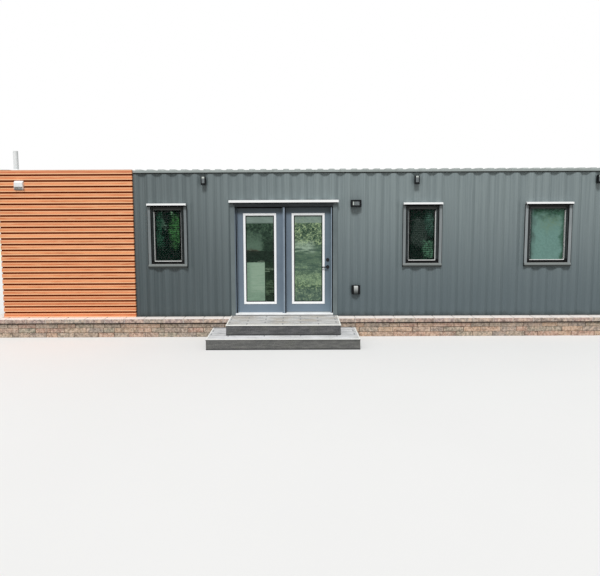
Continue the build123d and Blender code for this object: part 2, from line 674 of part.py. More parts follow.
roof.part.label = "roof"
export_step(roof.part, "parts/roof.step")

# Insulated lining: framed and boarded panels inside the steel
FRONT_LINING = FRONT + SHEET_ZONE
FRONT_ROOM = FRONT + WALL_THICKNESS
with BuildPart() as front_linings:
    slab(-ROOM_HALF_LENGTH, DOOR_X - FRAME_HALF, FRONT_LINING, FRONT_ROOM, FLOOR_TOP, CEILING_Z)
    slab(DOOR_X + FRAME_HALF, ROOM_HALF_LENGTH, FRONT_LINING, FRONT_ROOM, FLOOR_TOP, CEILING_Z)
    for window_x, window_width in WINDOWS:
        pane(
            window_x, WINDOW_MIDDLE_Z, window_width, WINDOW_HEIGHT,
            SHEET_ZONE, WALL_THICKNESS, Mode.SUBTRACT,
        )
front_linings.part.label = "front_linings"
export_step(front_linings.part, "parts/front_linings.step")

with BuildPart() as lining_over_door:
    slab(DOOR_X - FRAME_HALF, DOOR_X + FRAME_HALF, FRONT_LINING, FRONT_ROOM, FRAME_TOP, CEILING_Z)
lining_over_door.part.label = "lining_over_door"
export_step(lining_over_door.part, "parts/lining_over_door.step")

with BuildPart() as back_lining:
    slab(-ROOM_HALF_LENGTH, ROOM_HALF_LENGTH, -FRONT_ROOM, -FRONT_LINING, FLOOR_TOP, CEILING_Z)
back_lining.part.label = "back_lining"
export_step(back_lining.part, "parts/back_lining.step")

with BuildPart() as end_linings:
    slab(
        ROOM_HALF_LENGTH, HALF_LENGTH - SHEET_ZONE, -ROOM_HALF_WIDTH, ROOM_HALF_WIDTH,
        FLOOR_TOP, CEILING_Z,
    )
    mirror(about=Plane.YZ)
end_linings.part.label = "end_linings"
export_step(end_linings.part, "parts/end_linings.step")

with BuildPart() as ceiling:
    slab(
        -ROOM_HALF_LENGTH, ROOM_HALF_LENGTH, FRONT_LINING, -FRONT_LINING,
        CEILING_Z, CONTAINER_TOP - CASTING_HEIGHT,
    )
ceiling.part.label = "ceiling"
export_step(ceiling.part, "parts/ceiling.step")

# Boarded cladding: level boards with open joints on a dark backing, standing on the cap
CLADDING_HEIGHT = CLADDING_TOP - CAP_TOP
BOARD_COUNT = ceil(CLADDING_HEIGHT / BOARD_PITCH)
CLADDING_BACKING = CLADDING_THICKNESS - BOARD_THICKNESS
with BuildPart() as cladding:
    slab(
        LEFT_END, LEFT_END + CLADDING_WIDTH, FRONT - CLADDING_BACKING, FRONT, CAP_TOP, CLADDING_TOP,
    )
    for board in range(BOARD_COUNT):
        board_top = CLADDING_TOP - board * BOARD_PITCH
        board_base = max(board_top - BOARD_WIDTH, CAP_TOP)
        slab(
            LEFT_END, LEFT_END + CLADDING_WIDTH, FRONT - CLADDING_THICKNESS,
            FRONT - CLADDING_BACKING, board_base, board_top,
        )
cladding.part.label = "cladding"
export_step(cladding.part, "parts/cladding.step")

# Windows: steel surround, dark outer frame, sash, sealed glass, pale bead, flashing and blind
with BuildPart() as window_surrounds:
    for window_x, window_width in WINDOWS:
        ring(
            window_x, WINDOW_MIDDLE_Z, window_width + 2 * WINDOW_SURROUND,
            WINDOW_HEIGHT + 2 * WINDOW_SURROUND, WINDOW_SURROUND, 0, SHEET_ZONE,
        )
        ledge(window_x, window_width + 2 * WINDOW_SURROUND)
window_surrounds.part.label = "window_surrounds"
export_step(window_surrounds.part, "parts/window_surrounds.step")

with BuildPart() as window_frames:
    for window_x, window_width in WINDOWS:
        ring(
            window_x, WINDOW_MIDDLE_Z, window_width, WINDOW_HEIGHT, WINDOW_FRAME_FACE,
            WINDOW_FRAME_SETBACK, WINDOW_FRAME_SETBACK + WINDOW_FRAME_DEPTH,
        )
window_frames.part.label = "window_frames"
export_step(window_frames.part, "parts/window_frames.step")

SASH_BACK = SASH_SETBACK + SASH_DEPTH
SASH_TRIM = 2 * WINDOW_FRAME_FACE
with BuildPart() as window_sashes:
    for window_x, window_width in WINDOWS:
        ring(
            window_x, WINDOW_MIDDLE_Z, window_width - SASH_TRIM, WINDOW_HEIGHT - SASH_TRIM,
            SASH_FACE, SASH_SETBACK, SASH_BACK,
        )
window_sashes.part.label = "window_sashes"
export_step(window_sashes.part, "parts/window_sashes.step")

GLASS_TRIM = SASH_TRIM + 2 * SASH_FACE
GLASS_FACE = (SASH_SETBACK + SASH_BACK - WINDOW_GLASS) / 2
with BuildPart() as window_glass:
    for window_x, window_width in WINDOWS:
        pane(
            window_x, WINDOW_MIDDLE_Z, window_width - GLASS_TRIM, WINDOW_HEIGHT - GLASS_TRIM,
            GLASS_FACE, GLASS_FACE + WINDOW_GLASS,
        )
window_glass.part.label = "window_glass"
export_step(window_glass.part, "parts/window_glass.step")

BEAD_FRONT = GLASS_FACE + WINDOW_GLASS
with BuildPart() as window_beads:
    for window_x, window_width in WINDOWS:
        ring(
            window_x, WINDOW_MIDDLE_Z, window_width - GLASS_TRIM, WINDOW_HEIGHT - GLASS_TRIM,
            BEAD_FACE, BEAD_FRONT, BEAD_FRONT + BEAD_DEPTH,
        )
window_beads.part.label = "window_beads"
export_step(window_beads.part, "parts/window_beads.step")

WINDOW_SURROUND_TOP = WINDOW_SILL_Z + WINDOW_HEIGHT + WINDOW_SURROUND
with BuildPart() as window_flashings:
    for window_x, window_width in WINDOWS:
        flashing_half = window_width / 2 + WINDOW_SURROUND + WINDOW_FLASHING_OVERHANG
        folded_flashing(
            window_x - flashing_half, window_x + flashing_half, FRONT, WINDOW_FLASHING_REACH,
            WINDOW_SURROUND_TOP, WINDOW_FLASHING_FALL,
            WINDOW_FLASHING_HEIGHT - WINDOW_FLASHING_FALL, WINDOW_FLASHING_BACK,
        )
window_flashings.part.label = "window_flashings"
export_step(window_flashings.part, "parts/window_flashings.step")

with BuildPart() as window_blinds:
    for window_x, window_width in WINDOWS:
        pane(
            window_x, WINDOW_MIDDLE_Z, window_width - 2 * BLIND_SIDE_GAP, WINDOW_HEIGHT,
            BLIND_SETBACK, BLIND_SETBACK + BLIND_DEPTH,
        )
window_blinds.part.label = "window_blinds"
export_step(window_blinds.part, "parts/window_blinds.step")

# Steel surround of the doorway, in the depth of the corrugated sheet
with BuildPart() as door_surround_posts:
    for side in (-1, 1):
        post_middle = DOOR_X + side * (FRAME_HALF + DOOR_SURROUND_SIDE / 2)
        slab(
            post_middle - DOOR_SURROUND_SIDE / 2, post_middle + DOOR_SURROUND_SIDE / 2,
            FRONT, FRONT + SHEET_ZONE, BOTTOM_RAIL_TOP, FRAME_TOP,
        )
door_surround_posts.part.label = "door_surround_posts"
export_step(door_surround_posts.part, "parts/door_surround_posts.step")

with BuildPart() as door_surround_head:
    slab(
        DOOR_X - SURROUND_HALF, DOOR_X + SURROUND_HALF, FRONT, FRONT + SHEET_ZONE,
        FRAME_TOP, SURROUND_TOP,
    )
door_surround_head.part.label = "door_surround_head"
export_step(door_surround_head.part, "parts/door_surround_head.step")

# Flashing over the doorway, its back leg between the surround's head and the sheet's ridges
with BuildPart() as door_flashing:
    flashing_half = SURROUND_HALF + DOOR_FLASHING_OVERHANG
    folded_flashing(
        DOOR_X - flashing_half, DOOR_X + flashing_half, FRONT + SHEET_INSET,
        SHEET_INSET + DOOR_FLASHING_REACH, SURROUND_TOP + DOOR_FLASHING_HEIGHT,
        DOOR_FLASHING_FALL, DOOR_FLASHING_HEIGHT - DOOR_FLASHING_FALL, DOOR_FLASHING_HEIGHT,
    )
door_flashing.part.label = "door_flashing"
export_step(door_flashing.part, "parts/door_flashing.step")

# Door frame: rebated jambs, a rebated head and a mullion between the leaves
with BuildPart() as door_jambs:
    for side in (-1, 1):
        outer_x = DOOR_X + side * FRAME_HALF
        stop_x = outer_x - side * FRAME_FACE
        rebate_x = stop_x + side * REBATE
        with BuildSketch(Plane.XY.offset(THRESHOLD_TOP)) as jamb_section:
            with BuildLine():
                Polyline(
                    (outer_x, FRONT + FRAME_SETBACK),
                    (stop_x, FRONT + FRAME_SETBACK),
                    (stop_x, FRONT + STOP_FACE),
                    (rebate_x, FRONT + STOP_FACE),
                    (rebate_x, FRONT + LEAF_BACK),
                    (outer_x, FRONT + LEAF_BACK),
                    close=True,
                )
            make_face()
        extrude(jamb_section.sketch, amount=DOOR_HEAD_Z - THRESHOLD_TOP)
door_jambs.part.label = "door_jambs"
export_step(door_jambs.part, "parts/door_jambs.step")

with BuildPart() as door_head:
    with BuildSketch(section_plane(DOOR_X - FRAME_HALF)):
        with BuildLine():
            Polyline(
                (FRONT + FRAME_SETBACK, DOOR_HEAD_Z),
                (FRONT + STOP_FACE, DOOR_HEAD_Z),
                (FRONT + STOP_FACE, DOOR_HEAD_Z + REBATE),
                (FRONT + LEAF_BACK, DOOR_HEAD_Z + REBATE),
                (FRONT + LEAF_BACK, FRAME_TOP),
                (FRONT + FRAME_SETBACK, FRAME_TOP),
                close=True,
            )
        make_face()
    extrude(amount=2 * FRAME_HALF)
    for side in (-1, 1):
        corner_x = DOOR_X + side * (FRAME_HALF - (FRAME_FACE - REBATE) / 2)
        slab(
            corner_x - (FRAME_FACE - REBATE) / 2, corner_x + (FRAME_FACE - REBATE) / 2,
            FRONT + STOP_FACE, FRONT + LEAF_BACK, DOOR_HEAD_Z, DOOR_HEAD_Z + REBATE,
        )
door_head.part.label = "door_head"
export_step(door_head.part, "parts/door_head.step")

with BuildPart() as mullion:
    slab(
        DOOR_X - MULLION_FACE / 2, DOOR_X + MULLION_FACE / 2,
        FRONT + FRAME_SETBACK, FRONT + STOP_FACE, THRESHOLD_TOP, DOOR_HEAD_Z,
    )
    slab(
        DOOR_X - MULLION_FACE / 2 + REBATE, DOOR_X + MULLION_FACE / 2 - REBATE,
        FRONT + STOP_FACE, FRONT + LEAF_BACK, THRESHOLD_TOP, DOOR_HEAD_Z + REBATE,
    )
mullion.part.label = "mullion"
export_step(mullion.part, "parts/mullion.step")

# Threshold on the bottom rail and the floor deck, with a falling lip over the upper step
with BuildPart() as threshold:
    lip_top = THRESHOLD_TOP - THRESHOLD_FALL
    with BuildSketch(section_plane(DOOR_X - FRAME_HALF)):
        with BuildLine():
            Polyline(
                (FRONT - THRESHOLD_LIP, lip_top - THRESHOLD_LIP_THICKNESS),
                (FRONT - THRESHOLD_LIP, lip_top),
                (FRONT + FRAME_SETBACK, THRESHOLD_TOP),
                (FRONT_ROOM, THRESHOLD_TOP),
                (FRONT_ROOM, FLOOR_TOP),
                (FRONT + BOTTOM_RAIL_FLANGE, FLOOR_TOP),
                (FRONT + BOTTOM_RAIL_FLANGE, BOTTOM_RAIL_TOP),
                (FRONT, BOTTOM_RAIL_TOP),
                (FRONT, lip_top - THRESHOLD_LIP_THICKNESS),
                close=True,
            )
        make_face()
    extrude(amount=2 * FRAME_HALF)
threshold.part.label = "threshold"
export_step(threshold.part, "parts/threshold.step")


def door_leaf(x, face, base):
    """A flush door leaf with its opening for the glazed panel."""
    pane(x, (base + LEAF_TOP) / 2, LEAF_WIDTH, LEAF_TOP - base, face, face + LEAF_THICKNESS)
    pane(
        x, LITE_CENTRE_Z, LITE_WIDTH - 2 * LITE_LAP, LITE_HEIGHT - 2 * LITE_LAP,
        face, face + LEAF_THICKNESS, Mode.SUBTRACT,
    )


def glazing_frame(x, face):
    """The moulded frame that clamps the door's glass, lapping on to both faces of the leaf."""
    back = face + LEAF_THICKNESS
    ring(x, LITE_CENTRE_Z, LITE_WIDTH, LITE_HEIGHT, LITE_BORDER, face - LITE_PROUD, face)
    ring(x, LITE_CENTRE_Z, LITE_WIDTH, LITE_HEIGHT, LITE_BORDER, back, back + LITE_PROUD)
    ring(
        x, LITE_CENTRE_Z, LITE_WIDTH - 2 * LITE_LAP, LITE_HEIGHT - 2 * LITE_LAP,
        LITE_BORDER - LITE_LAP, face, back,
    )


def door_pane(x, face):
    """The sealed glass in the middle of a leaf's thickness."""
    glass_face = face + (LEAF_THICKNESS - DOOR_GLASS) / 2
    pane(
        x, LITE_CENTRE_Z, LITE_WIDTH - 2 * LITE_BORDER, LITE_HEIGHT - 2 * LITE_BORDER,
        glass_face, glass_face + DOOR_GLASS,
    )


# Fixed leaf, seated on the threshold and against the stops
with BuildPart() as fixed_leaf:
    door_leaf(FIXED_LEAF_X, STOP_FACE, THRESHOLD_TOP)
fixed_leaf.part.label = "fixed_leaf"
export_step(fixed_leaf.part, "parts/fixed_leaf.step")

with BuildPart() as fixed_lite_frame:
    glazing_frame(FIXED_LEAF_X, STOP_FACE)
    chamfer(fixed_lite_frame.faces().sort_by(Axis.Y)[0].edges(), LITE_CHAMFER)
    chamfer(fixed_lite_frame.faces().sort_by(Axis.Y)[-1].edges(), LITE_CHAMFER)
fixed_lite_frame.part.label = "fixed_lite_frame"
export_step(fixed_lite_frame.part, "parts/fixed_lite_frame.step")

with BuildPart() as fixed_glass:
    door_pane(FIXED_LEAF_X, STOP_FACE)
fixed_glass.part.label = "fixed_glass"
export_step(fixed_glass.part, "parts/fixed_glass.step")

# Active leaf, clear of the frame all round
with BuildPart() as active_leaf:
    door_leaf(ACTIVE_LEAF_X, LEAF_FACE, LEAF_BASE)
active_leaf.part.label = "active_leaf"
export_step(active_leaf.part, "parts/active_leaf.step")

with BuildPart() as active_lite_frame:
    glazing_frame(ACTIVE_LEAF_X, LEAF_FACE)
    chamfer(active_lite_frame.faces().sort_by(Axis.Y)[0].edges(), LITE_CHAMFER)
    chamfer(active_lite_frame.faces().sort_by(Axis.Y)[-1].edges(), LITE_CHAMFER)
active_lite_frame.part.label = "active_lite_frame"
export_step(active_lite_frame.part, "parts/active_lite_frame.step")

with BuildPart() as active_glass:
    door_pane(ACTIVE_LEAF_X, LEAF_FACE)
active_glass.part.label = "active_glass"
export_step(active_glass.part, "parts/active_glass.step")

# Hinges on the mullion: outer knuckles and pin on the frame, the middle knuckle on the leaf
KNUCKLE = (HINGE_HEIGHT - 2 * HINGE_KNUCKLE_GAP) / 3
HINGE_BASES = (
    LEAF_BASE + HINGE_END_DISTANCE,
    (LEAF_BASE + LEAF_TOP - HINGE_HEIGHT) / 2,
    LEAF_TOP - HINGE_END_DISTANCE - HINGE_HEIGHT,
)
WING_FACE = FRONT + LEAF_BACK
with BuildPart() as frame_hinges:
    for hinge_base in HINGE_BASES:
        for knuckle_base in (hinge_base, hinge_base + HINGE_HEIGHT - KNUCKLE):
            with BuildSketch(Plane.XY.offset(knuckle_base)) as knuckle:
                with Locations((HINGE_X, HINGE_Y)):
                    Circle(HINGE_RADIUS)
            extrude(knuckle.sketch, amount=KNUCKLE)
            slab(
                HINGE_X - HINGE_WING, HINGE_X, WING_FACE, WING_FACE + HINGE_WING_PLATE,
                knuckle_base, knuckle_base + KNUCKLE,
            )
        with BuildSketch(Plane.XY.offset(hinge_base)) as pin:
            with Locations((HINGE_X, HINGE_Y)):
                Circle(HINGE_PIN_RADIUS)
        extrude(pin.sketch, amount=HINGE_HEIGHT)
frame_hinges.part.label = "frame_hinges"
export_step(frame_hinges.part, "parts/frame_hinges.step")

with BuildPart() as leaf_hinges:
    for hinge_base in HINGE_BASES:
        knuckle_base = hinge_base + KNUCKLE + HINGE_KNUCKLE_GAP
        with BuildSketch(Plane.XY.offset(knuckle_base)) as knuckle:
            with Locations((HINGE_X, HINGE_Y)):
                Circle(HINGE_RADIUS)
        extrude(knuckle.sketch, amount=KNUCKLE)
        slab(
            HINGE_X, HINGE_X + HINGE_WING, WING_FACE, WING_FACE + HINGE_WING_PLATE,
            knuckle_base, knuckle_base + KNUCKLE,
        )
        with BuildSketch(Plane.XY.offset(knuckle_base)) as bore:
            with Locations((HINGE_X, HINGE_Y)):
                Circle(HINGE_PIN_RADIUS + HINGE_PIN_CLEARANCE)
        extrude(bore.sketch, amount=KNUCKLE, mode=Mode.SUBTRACT)
leaf_hinges.part.label = "leaf_hinges"
export_step(leaf_hinges.part, "parts/leaf_hinges.step")


def disc(x, z, radius, front, back):
    """A round plate in the front wall, between two depths behind the front face."""
    with BuildSketch(front_plane(front)) as face:
        with Locations((x, z)):
            Circle(radius)
    extrude(face.sketch, amount=front - back)


def lever_arm(front, back):
    """The lever's arm, a rounded bar from the lock towards the hinges."""
    with BuildSketch(front_plane(front)) as face:
        with Locations((LOCK_X - (LEVER_LENGTH - LEVER_WIDTH) / 2, LEVER_Z)):
            SlotOverall(LEVER_LENGTH, LEVER_WIDTH)
    extrude(face.sketch, amount=front - back)


# Lever handle and deadbolt on both faces of the active leaf
with BuildPart() as door_levers:
    disc(LOCK_X, LEVER_Z, ROSE_RADIUS, LEAF_FACE - ROSE_THICKNESS, LEAF_FACE)
    disc(LOCK_X, LEVER_Z, LEVER_NECK_RADIUS, LEAF_FACE - LEVER_NECK, LEAF_FACE - ROSE_THICKNESS)
    lever_arm(LEAF_FACE - LEVER_NECK - LEVER_THICKNESS, LEAF_FACE - LEVER_NECK)
    disc(LOCK_X, LEVER_Z, ROSE_RADIUS, LEAF_BACK, LEAF_BACK + ROSE_THICKNESS)
    disc(LOCK_X, LEVER_Z, LEVER_NECK_RADIUS, LEAF_BACK + ROSE_THICKNESS, LEAF_BACK + LEVER_NECK)
    lever_arm(LEAF_BACK + LEVER_NECK, LEAF_BACK + LEVER_NECK + LEVER_THICKNESS)
door_levers.part.label = "door_levers"
export_step(door_levers.part, "parts/door_levers.step")

with BuildPart() as deadbolt:
    disc(LOCK_X, DEADBOLT_Z, ROSE_RADIUS, LEAF_FACE - ROSE_THICKNESS, LEAF_FACE)
    disc(
        LOCK_X, DEADBOLT_Z, DEADBOLT_CYLINDER_RADIUS,
        LEAF_FACE - ROSE_THICKNESS - DEADBOLT_CYLINDER, LEAF_FACE - ROSE_THICKNESS,
    )
    disc(LOCK_X, DEADBOLT_Z, ROSE_RADIUS, LEAF_BACK, LEAF_BACK + ROSE_THICKNESS)
    pane(
        LOCK_X, DEADBOLT_Z, THUMB_TURN_WIDTH, THUMB_TURN_LENGTH,
        LEAF_BACK + ROSE_THICKNESS, LEAF_BACK + ROSE_THICKNESS + DEADBOLT_CYLINDER,
    )
deadbolt.part.label = "deadbolt"
export_step(deadbolt.part, "parts/deadbolt.step")

# Small wall lights: boxes with a recessed lens above and below, on a foot in the corrugation
LIGHT_TOP = WALL_LIGHT_Z + WALL_LIGHT_HEIGHT / 2
LIGHT_BASE = WALL_LIGHT_Z - WALL_LIGHT_HEIGHT / 2
LENS_HALF = WALL_LIGHT_WIDTH / 2 - WALL_LIGHT_SHELL
with BuildPart() as wall_lights:
    for light_centre in (LEFT_LIGHT_CENTRE, MIDDLE_LIGHT_CENTRE, RIGHT_LIGHT_CENTRE):
        light_x = LEFT_END + light_centre
        pane(light_x, WALL_LIGHT_Z, WALL_LIGHT_WIDTH, WALL_LIGHT_HEIGHT, -WALL_LIGHT_REACH, 0)
        for lens_low in (LIGHT_BASE, LIGHT_TOP - WALL_LIGHT_RECESS):
            slab(
                light_x - LENS_HALF, light_x + LENS_HALF,
                FRONT - WALL_LIGHT_REACH + WALL_LIGHT_SHELL, FRONT - WALL_LIGHT_SHELL,
                lens_low, lens_low + WALL_LIGHT_RECESS, Mode.SUBTRACT,
            )
        pane(
            light_x, WALL_LIGHT_Z, WALL_LIGHT_FOOT, WALL_LIGHT_HEIGHT,
            0, foot_depth(light_x, WALL_LIGHT_FOOT),
        )
wall_lights.part.label = "wall_lights"
export_step(wall_lights.part, "parts/wall_lights.step")

# Bulkhead lamp beside the door: a rounded case with its lens set back inside the bezel
with BuildPart() as door_lamp:
    lamp_x = LEFT_END + DOOR_LAMP_CENTRE
    pane(lamp_x, DOOR_LAMP_Z, DOOR_LAMP_WIDTH, DOOR_LAMP_HEIGHT, -DOOR_LAMP_REACH, 0)
    fillet(door_lamp.edges().filter_by(Axis.Y), DOOR_LAMP_CORNER)
    pane(
        lamp_x, DOOR_LAMP_Z, DOOR_LAMP_WIDTH - 2 * DOOR_LAMP_BEZEL,
        DOOR_LAMP_HEIGHT - 2 * DOOR_LAMP_BEZEL,
        -DOOR_LAMP_REACH, DOOR_LAMP_RECESS - DOOR_LAMP_REACH, Mode.SUBTRACT,
    )
    pane(
        lamp_x, DOOR_LAMP_Z, DOOR_LAMP_FOOT, DOOR_LAMP_HEIGHT, 0, foot_depth(lamp_x, DOOR_LAMP_FOOT),
    )
door_lamp.part.label = "door_lamp"
export_step(door_lamp.part, "parts/door_lamp.step")

# Weatherproof socket cover with a domed middle
with BuildPart() as socket_cover:
    socket_x = LEFT_END + SOCKET_CENTRE
    pane(socket_x, SOCKET_Z, SOCKET_WIDTH, SOCKET_HEIGHT, -SOCKET_BASE_REACH, 0)
    fillet(socket_cover.edges().filter_by(Axis.Y), SOCKET_CORNER)
    pane(
        socket_x, SOCKET_Z, SOCKET_DOME_WIDTH, SOCKET_DOME_HEIGHT,
        -SOCKET_REACH, -SOCKET_BASE_REACH,
    )
    dome_face = socket_cover.faces().sort_by(Axis.Y)[0]
    dome_corners = socket_cover.edges().filter_by(Axis.Y).group_by(Axis.Y)[0]
    fillet(list(dome_face.edges()) + list(dome_corners), SOCKET_EDGE_RADIUS)
    pane(
        socket_x, SOCKET_Z, SOCKET_FOOT, SOCKET_HEIGHT, 0, foot_depth(socket_x, SOCKET_FOOT),
    )
socket_cover.part.label = "socket_cover"
export_step(socket_cover.part, "parts/socket_cover.step")

# Vent hood on the cladding: a folded box, open below and along the foot of its face
with BuildPart() as vent_hood:
    hood_left = LEFT_END + HOOD_CENTRE - HOOD_WIDTH / 2
    hood_back = FRONT - CLADDING_THICKNESS
    hood_base = HOOD_Z - HOOD_HEIGHT / 2
    with BuildSketch(section_plane(hood_left)):
        with BuildLine():
            Polyline(
                (hood_back, hood_base),
                (hood_back - HOOD_REACH, hood_base),
                (hood_back - HOOD_REACH, hood_base + HOOD_HEIGHT - HOOD_SLOPE),
                (hood_back - HOOD_REACH + HOOD_SLOPE, hood_base + HOOD_HEIGHT),
                (hood_back, hood_base + HOOD_HEIGHT),
                close=True,
            )
        make_face()
    extrude(amount=HOOD_WIDTH)
    offset(amount=-HOOD_SHELL, openings=vent_hood.faces().sort_by(Axis.Z)[0])
    slab(
        hood_left + HOOD_SHELL, hood_left + HOOD_WIDTH - HOOD_SHELL,
        hood_back - HOOD_REACH, hood_back - HOOD_REACH + HOOD_SHELL,
        hood_base, hood_base + HOOD_MOUTH_HEIGHT, Mode.SUBTRACT,
    )
vent_hood.part.label = "vent_hood"
export_step(vent_hood.part, "parts/vent_hood.step")

# Vent pipe, turned with its conical boot in one section
with BuildPart() as vent_pipe:
    pipe_x = LEFT_END + PIPE_CENTRE
    pipe_y = FRONT + PIPE_SETBACK
    pipe_bore = pipe_x + PIPE_RADIUS - PIPE_WALL
    pipe_top = ROOF_TOP + PIPE_HEIGHT
    with BuildSketch(Plane.XZ.offset(-pipe_y)):
        with BuildLine():
            Polyline(
                (pipe_bore, ROOF_TOP),
                (pipe_x + PIPE_BOOT_RADIUS, ROOF_TOP),
                (pipe_x + PIPE_RADIUS, ROOF_TOP + PIPE_BOOT_HEIGHT),
                (pipe_x + PIPE_RADIUS, pipe_top),
                (pipe_bore, pipe_top),
                close=True,
            )
        make_face()
    revolve(axis=Axis((pipe_x, pipe_y, 0), UP))
vent_pipe.part.label = "vent_pipe"
export_step(vent_pipe.part, "parts/vent_pipe.step")
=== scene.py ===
"""Container cabin: the finishes, blocks, boards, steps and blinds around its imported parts.

Metres: +X right along the front, +Y towards the back, +Z up from the ground.
"""

import math

import bmesh
import bpy
from mathutils import Matrix, Vector


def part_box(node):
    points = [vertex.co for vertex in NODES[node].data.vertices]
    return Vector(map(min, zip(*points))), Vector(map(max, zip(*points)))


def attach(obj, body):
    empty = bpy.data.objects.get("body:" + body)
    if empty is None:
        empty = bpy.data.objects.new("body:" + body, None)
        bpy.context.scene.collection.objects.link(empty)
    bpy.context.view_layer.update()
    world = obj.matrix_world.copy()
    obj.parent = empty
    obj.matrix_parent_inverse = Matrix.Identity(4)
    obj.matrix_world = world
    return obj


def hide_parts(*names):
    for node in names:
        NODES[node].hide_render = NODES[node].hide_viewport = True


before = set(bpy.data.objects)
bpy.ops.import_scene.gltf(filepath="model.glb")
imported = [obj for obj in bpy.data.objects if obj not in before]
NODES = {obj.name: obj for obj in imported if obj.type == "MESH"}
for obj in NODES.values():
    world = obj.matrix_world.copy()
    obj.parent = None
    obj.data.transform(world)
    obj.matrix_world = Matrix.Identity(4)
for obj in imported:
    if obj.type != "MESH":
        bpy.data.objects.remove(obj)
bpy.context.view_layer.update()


# Shader and geometry maths

def port(sockets, name):
    """The socket of that name, or in that place, among those that the node uses."""
    used = [socket for socket in sockets if socket.enabled]
    if isinstance(name, int):
        return used[name]
    return next(socket for socket in used if socket.name == name)


class Wire:
    """One output of a node. Arithmetic on wires adds the Math nodes that do it."""

    def __init__(self, graph, socket):
        self.graph = graph
        self.socket = socket

    def out(self, name):
        return Wire(self.graph, port(self.socket.node.outputs, name))

    def __add__(self, other):
        return self.graph.math("ADD", self, other)

    __radd__ = __add__

    def __sub__(self, other):
        return self.graph.math("SUBTRACT", self, other)

    def __rsub__(self, other):
        return self.graph.math("SUBTRACT", other, self)

    def __mul__(self, other):
        return self.graph.math("MULTIPLY", self, other)

    __rmul__ = __mul__

    def __truediv__(self, other):
        return self.graph.math("DIVIDE", self, other)

    def __lt__(self, other):
        return self.graph.math("LESS_THAN", self, other)

    def __gt__(self, other):
        return self.graph.math("GREATER_THAN", self, other)


class Graph:
    """A node tree being built. Every node comes from node()."""

    def __init__(self, tree):
        self.tree = tree
        tree.nodes.clear()

    def node(self, kind, settings=None, inputs=None, output=0):
        made = self.tree.nodes.new(kind)
        for name, value in (settings or {}).items():
            if name == "stops":
                self.fill_ramp(made.color_ramp, value)
            else:
                setattr(made, name, value)
        for name, value in (inputs or {}).items():
            socket = port(made.inputs, name)
            if isinstance(value, Wire):
                self.tree.links.new(value.socket, socket)
            else:
                socket.default_value = value
        return Wire(self, port(made.outputs, output)) if made.outputs else None

    def fill_ramp(self, ramp, stops):
        while len(ramp.elements) < len(stops):
            ramp.elements.new(0.5)
        for element, (place, colour) in zip(ramp.elements, stops):
            element.position = place
            element.color = colour

    def math(self, operation, *values):
        return self.node("ShaderNodeMath", {"operation": operation}, dict(enumerate(values)))

    def axes(self, vector):
        """The three parts of a vector."""
        parts = self.node("ShaderNodeSeparateXYZ", inputs={"Vector": vector})
        return [parts.out(axis) for axis in "XYZ"]

    def vector(self, x=0.0, y=0.0, z=0.0):
        return self.node("ShaderNodeCombineXYZ", inputs={"X": x, "Y": y, "Z": z})

    def background_ray(self):
        """1 where the camera, a gloss or a glass looks at the surface, 0 where it only lights the cabin."""
        path = self.node("ShaderNodeLightPath", output="Is Camera Ray")
        mirrored = self.math("MAXIMUM", path.out("Is Glossy Ray"), path.out("Is Transmission Ray"))
        return self.math("MAXIMUM", path, mirrored)


# Where weather and painted light and shade change the finishes: each pair tells where a change begins and
# where it is full

WALL_SHADE_FALL = (3.0, 0.1)
LOWER_WALL = (2.9, 1.2)
SPLASH = (0.36, 0.24)
LEFT_BAY_SHADE = (0.6, -2.4)
SHADED_BAY = (-1.6, -3.5)
BESIDE_DOOR = (-1.0, -1.6)
DIM_BAYS = (3.0, -3.4)
DIM_SURROUNDS = (3.4, 0.6)
LOWEST_BOARDS = (0.82, 0.70)
TOP_BOARD = (2.93, 2.97)
DARK_STILE = (-0.30, -0.05)
PALE_RAILS = (1.0, 0.42)
SHADED_TOP_RAILS = (2.20, 2.29)


# Finishes

def paint(red, green, blue):
    """A colour as the eye reads it, 0 to 255, in the linear numbers that a shader takes."""
    shares = [level / 255 for level in (red, green, blue)]
    return tuple(s / 12.92 if s <= 0.04045 else ((s + 0.055) / 1.055) ** 2.4 for s in shares) + (1.0,)


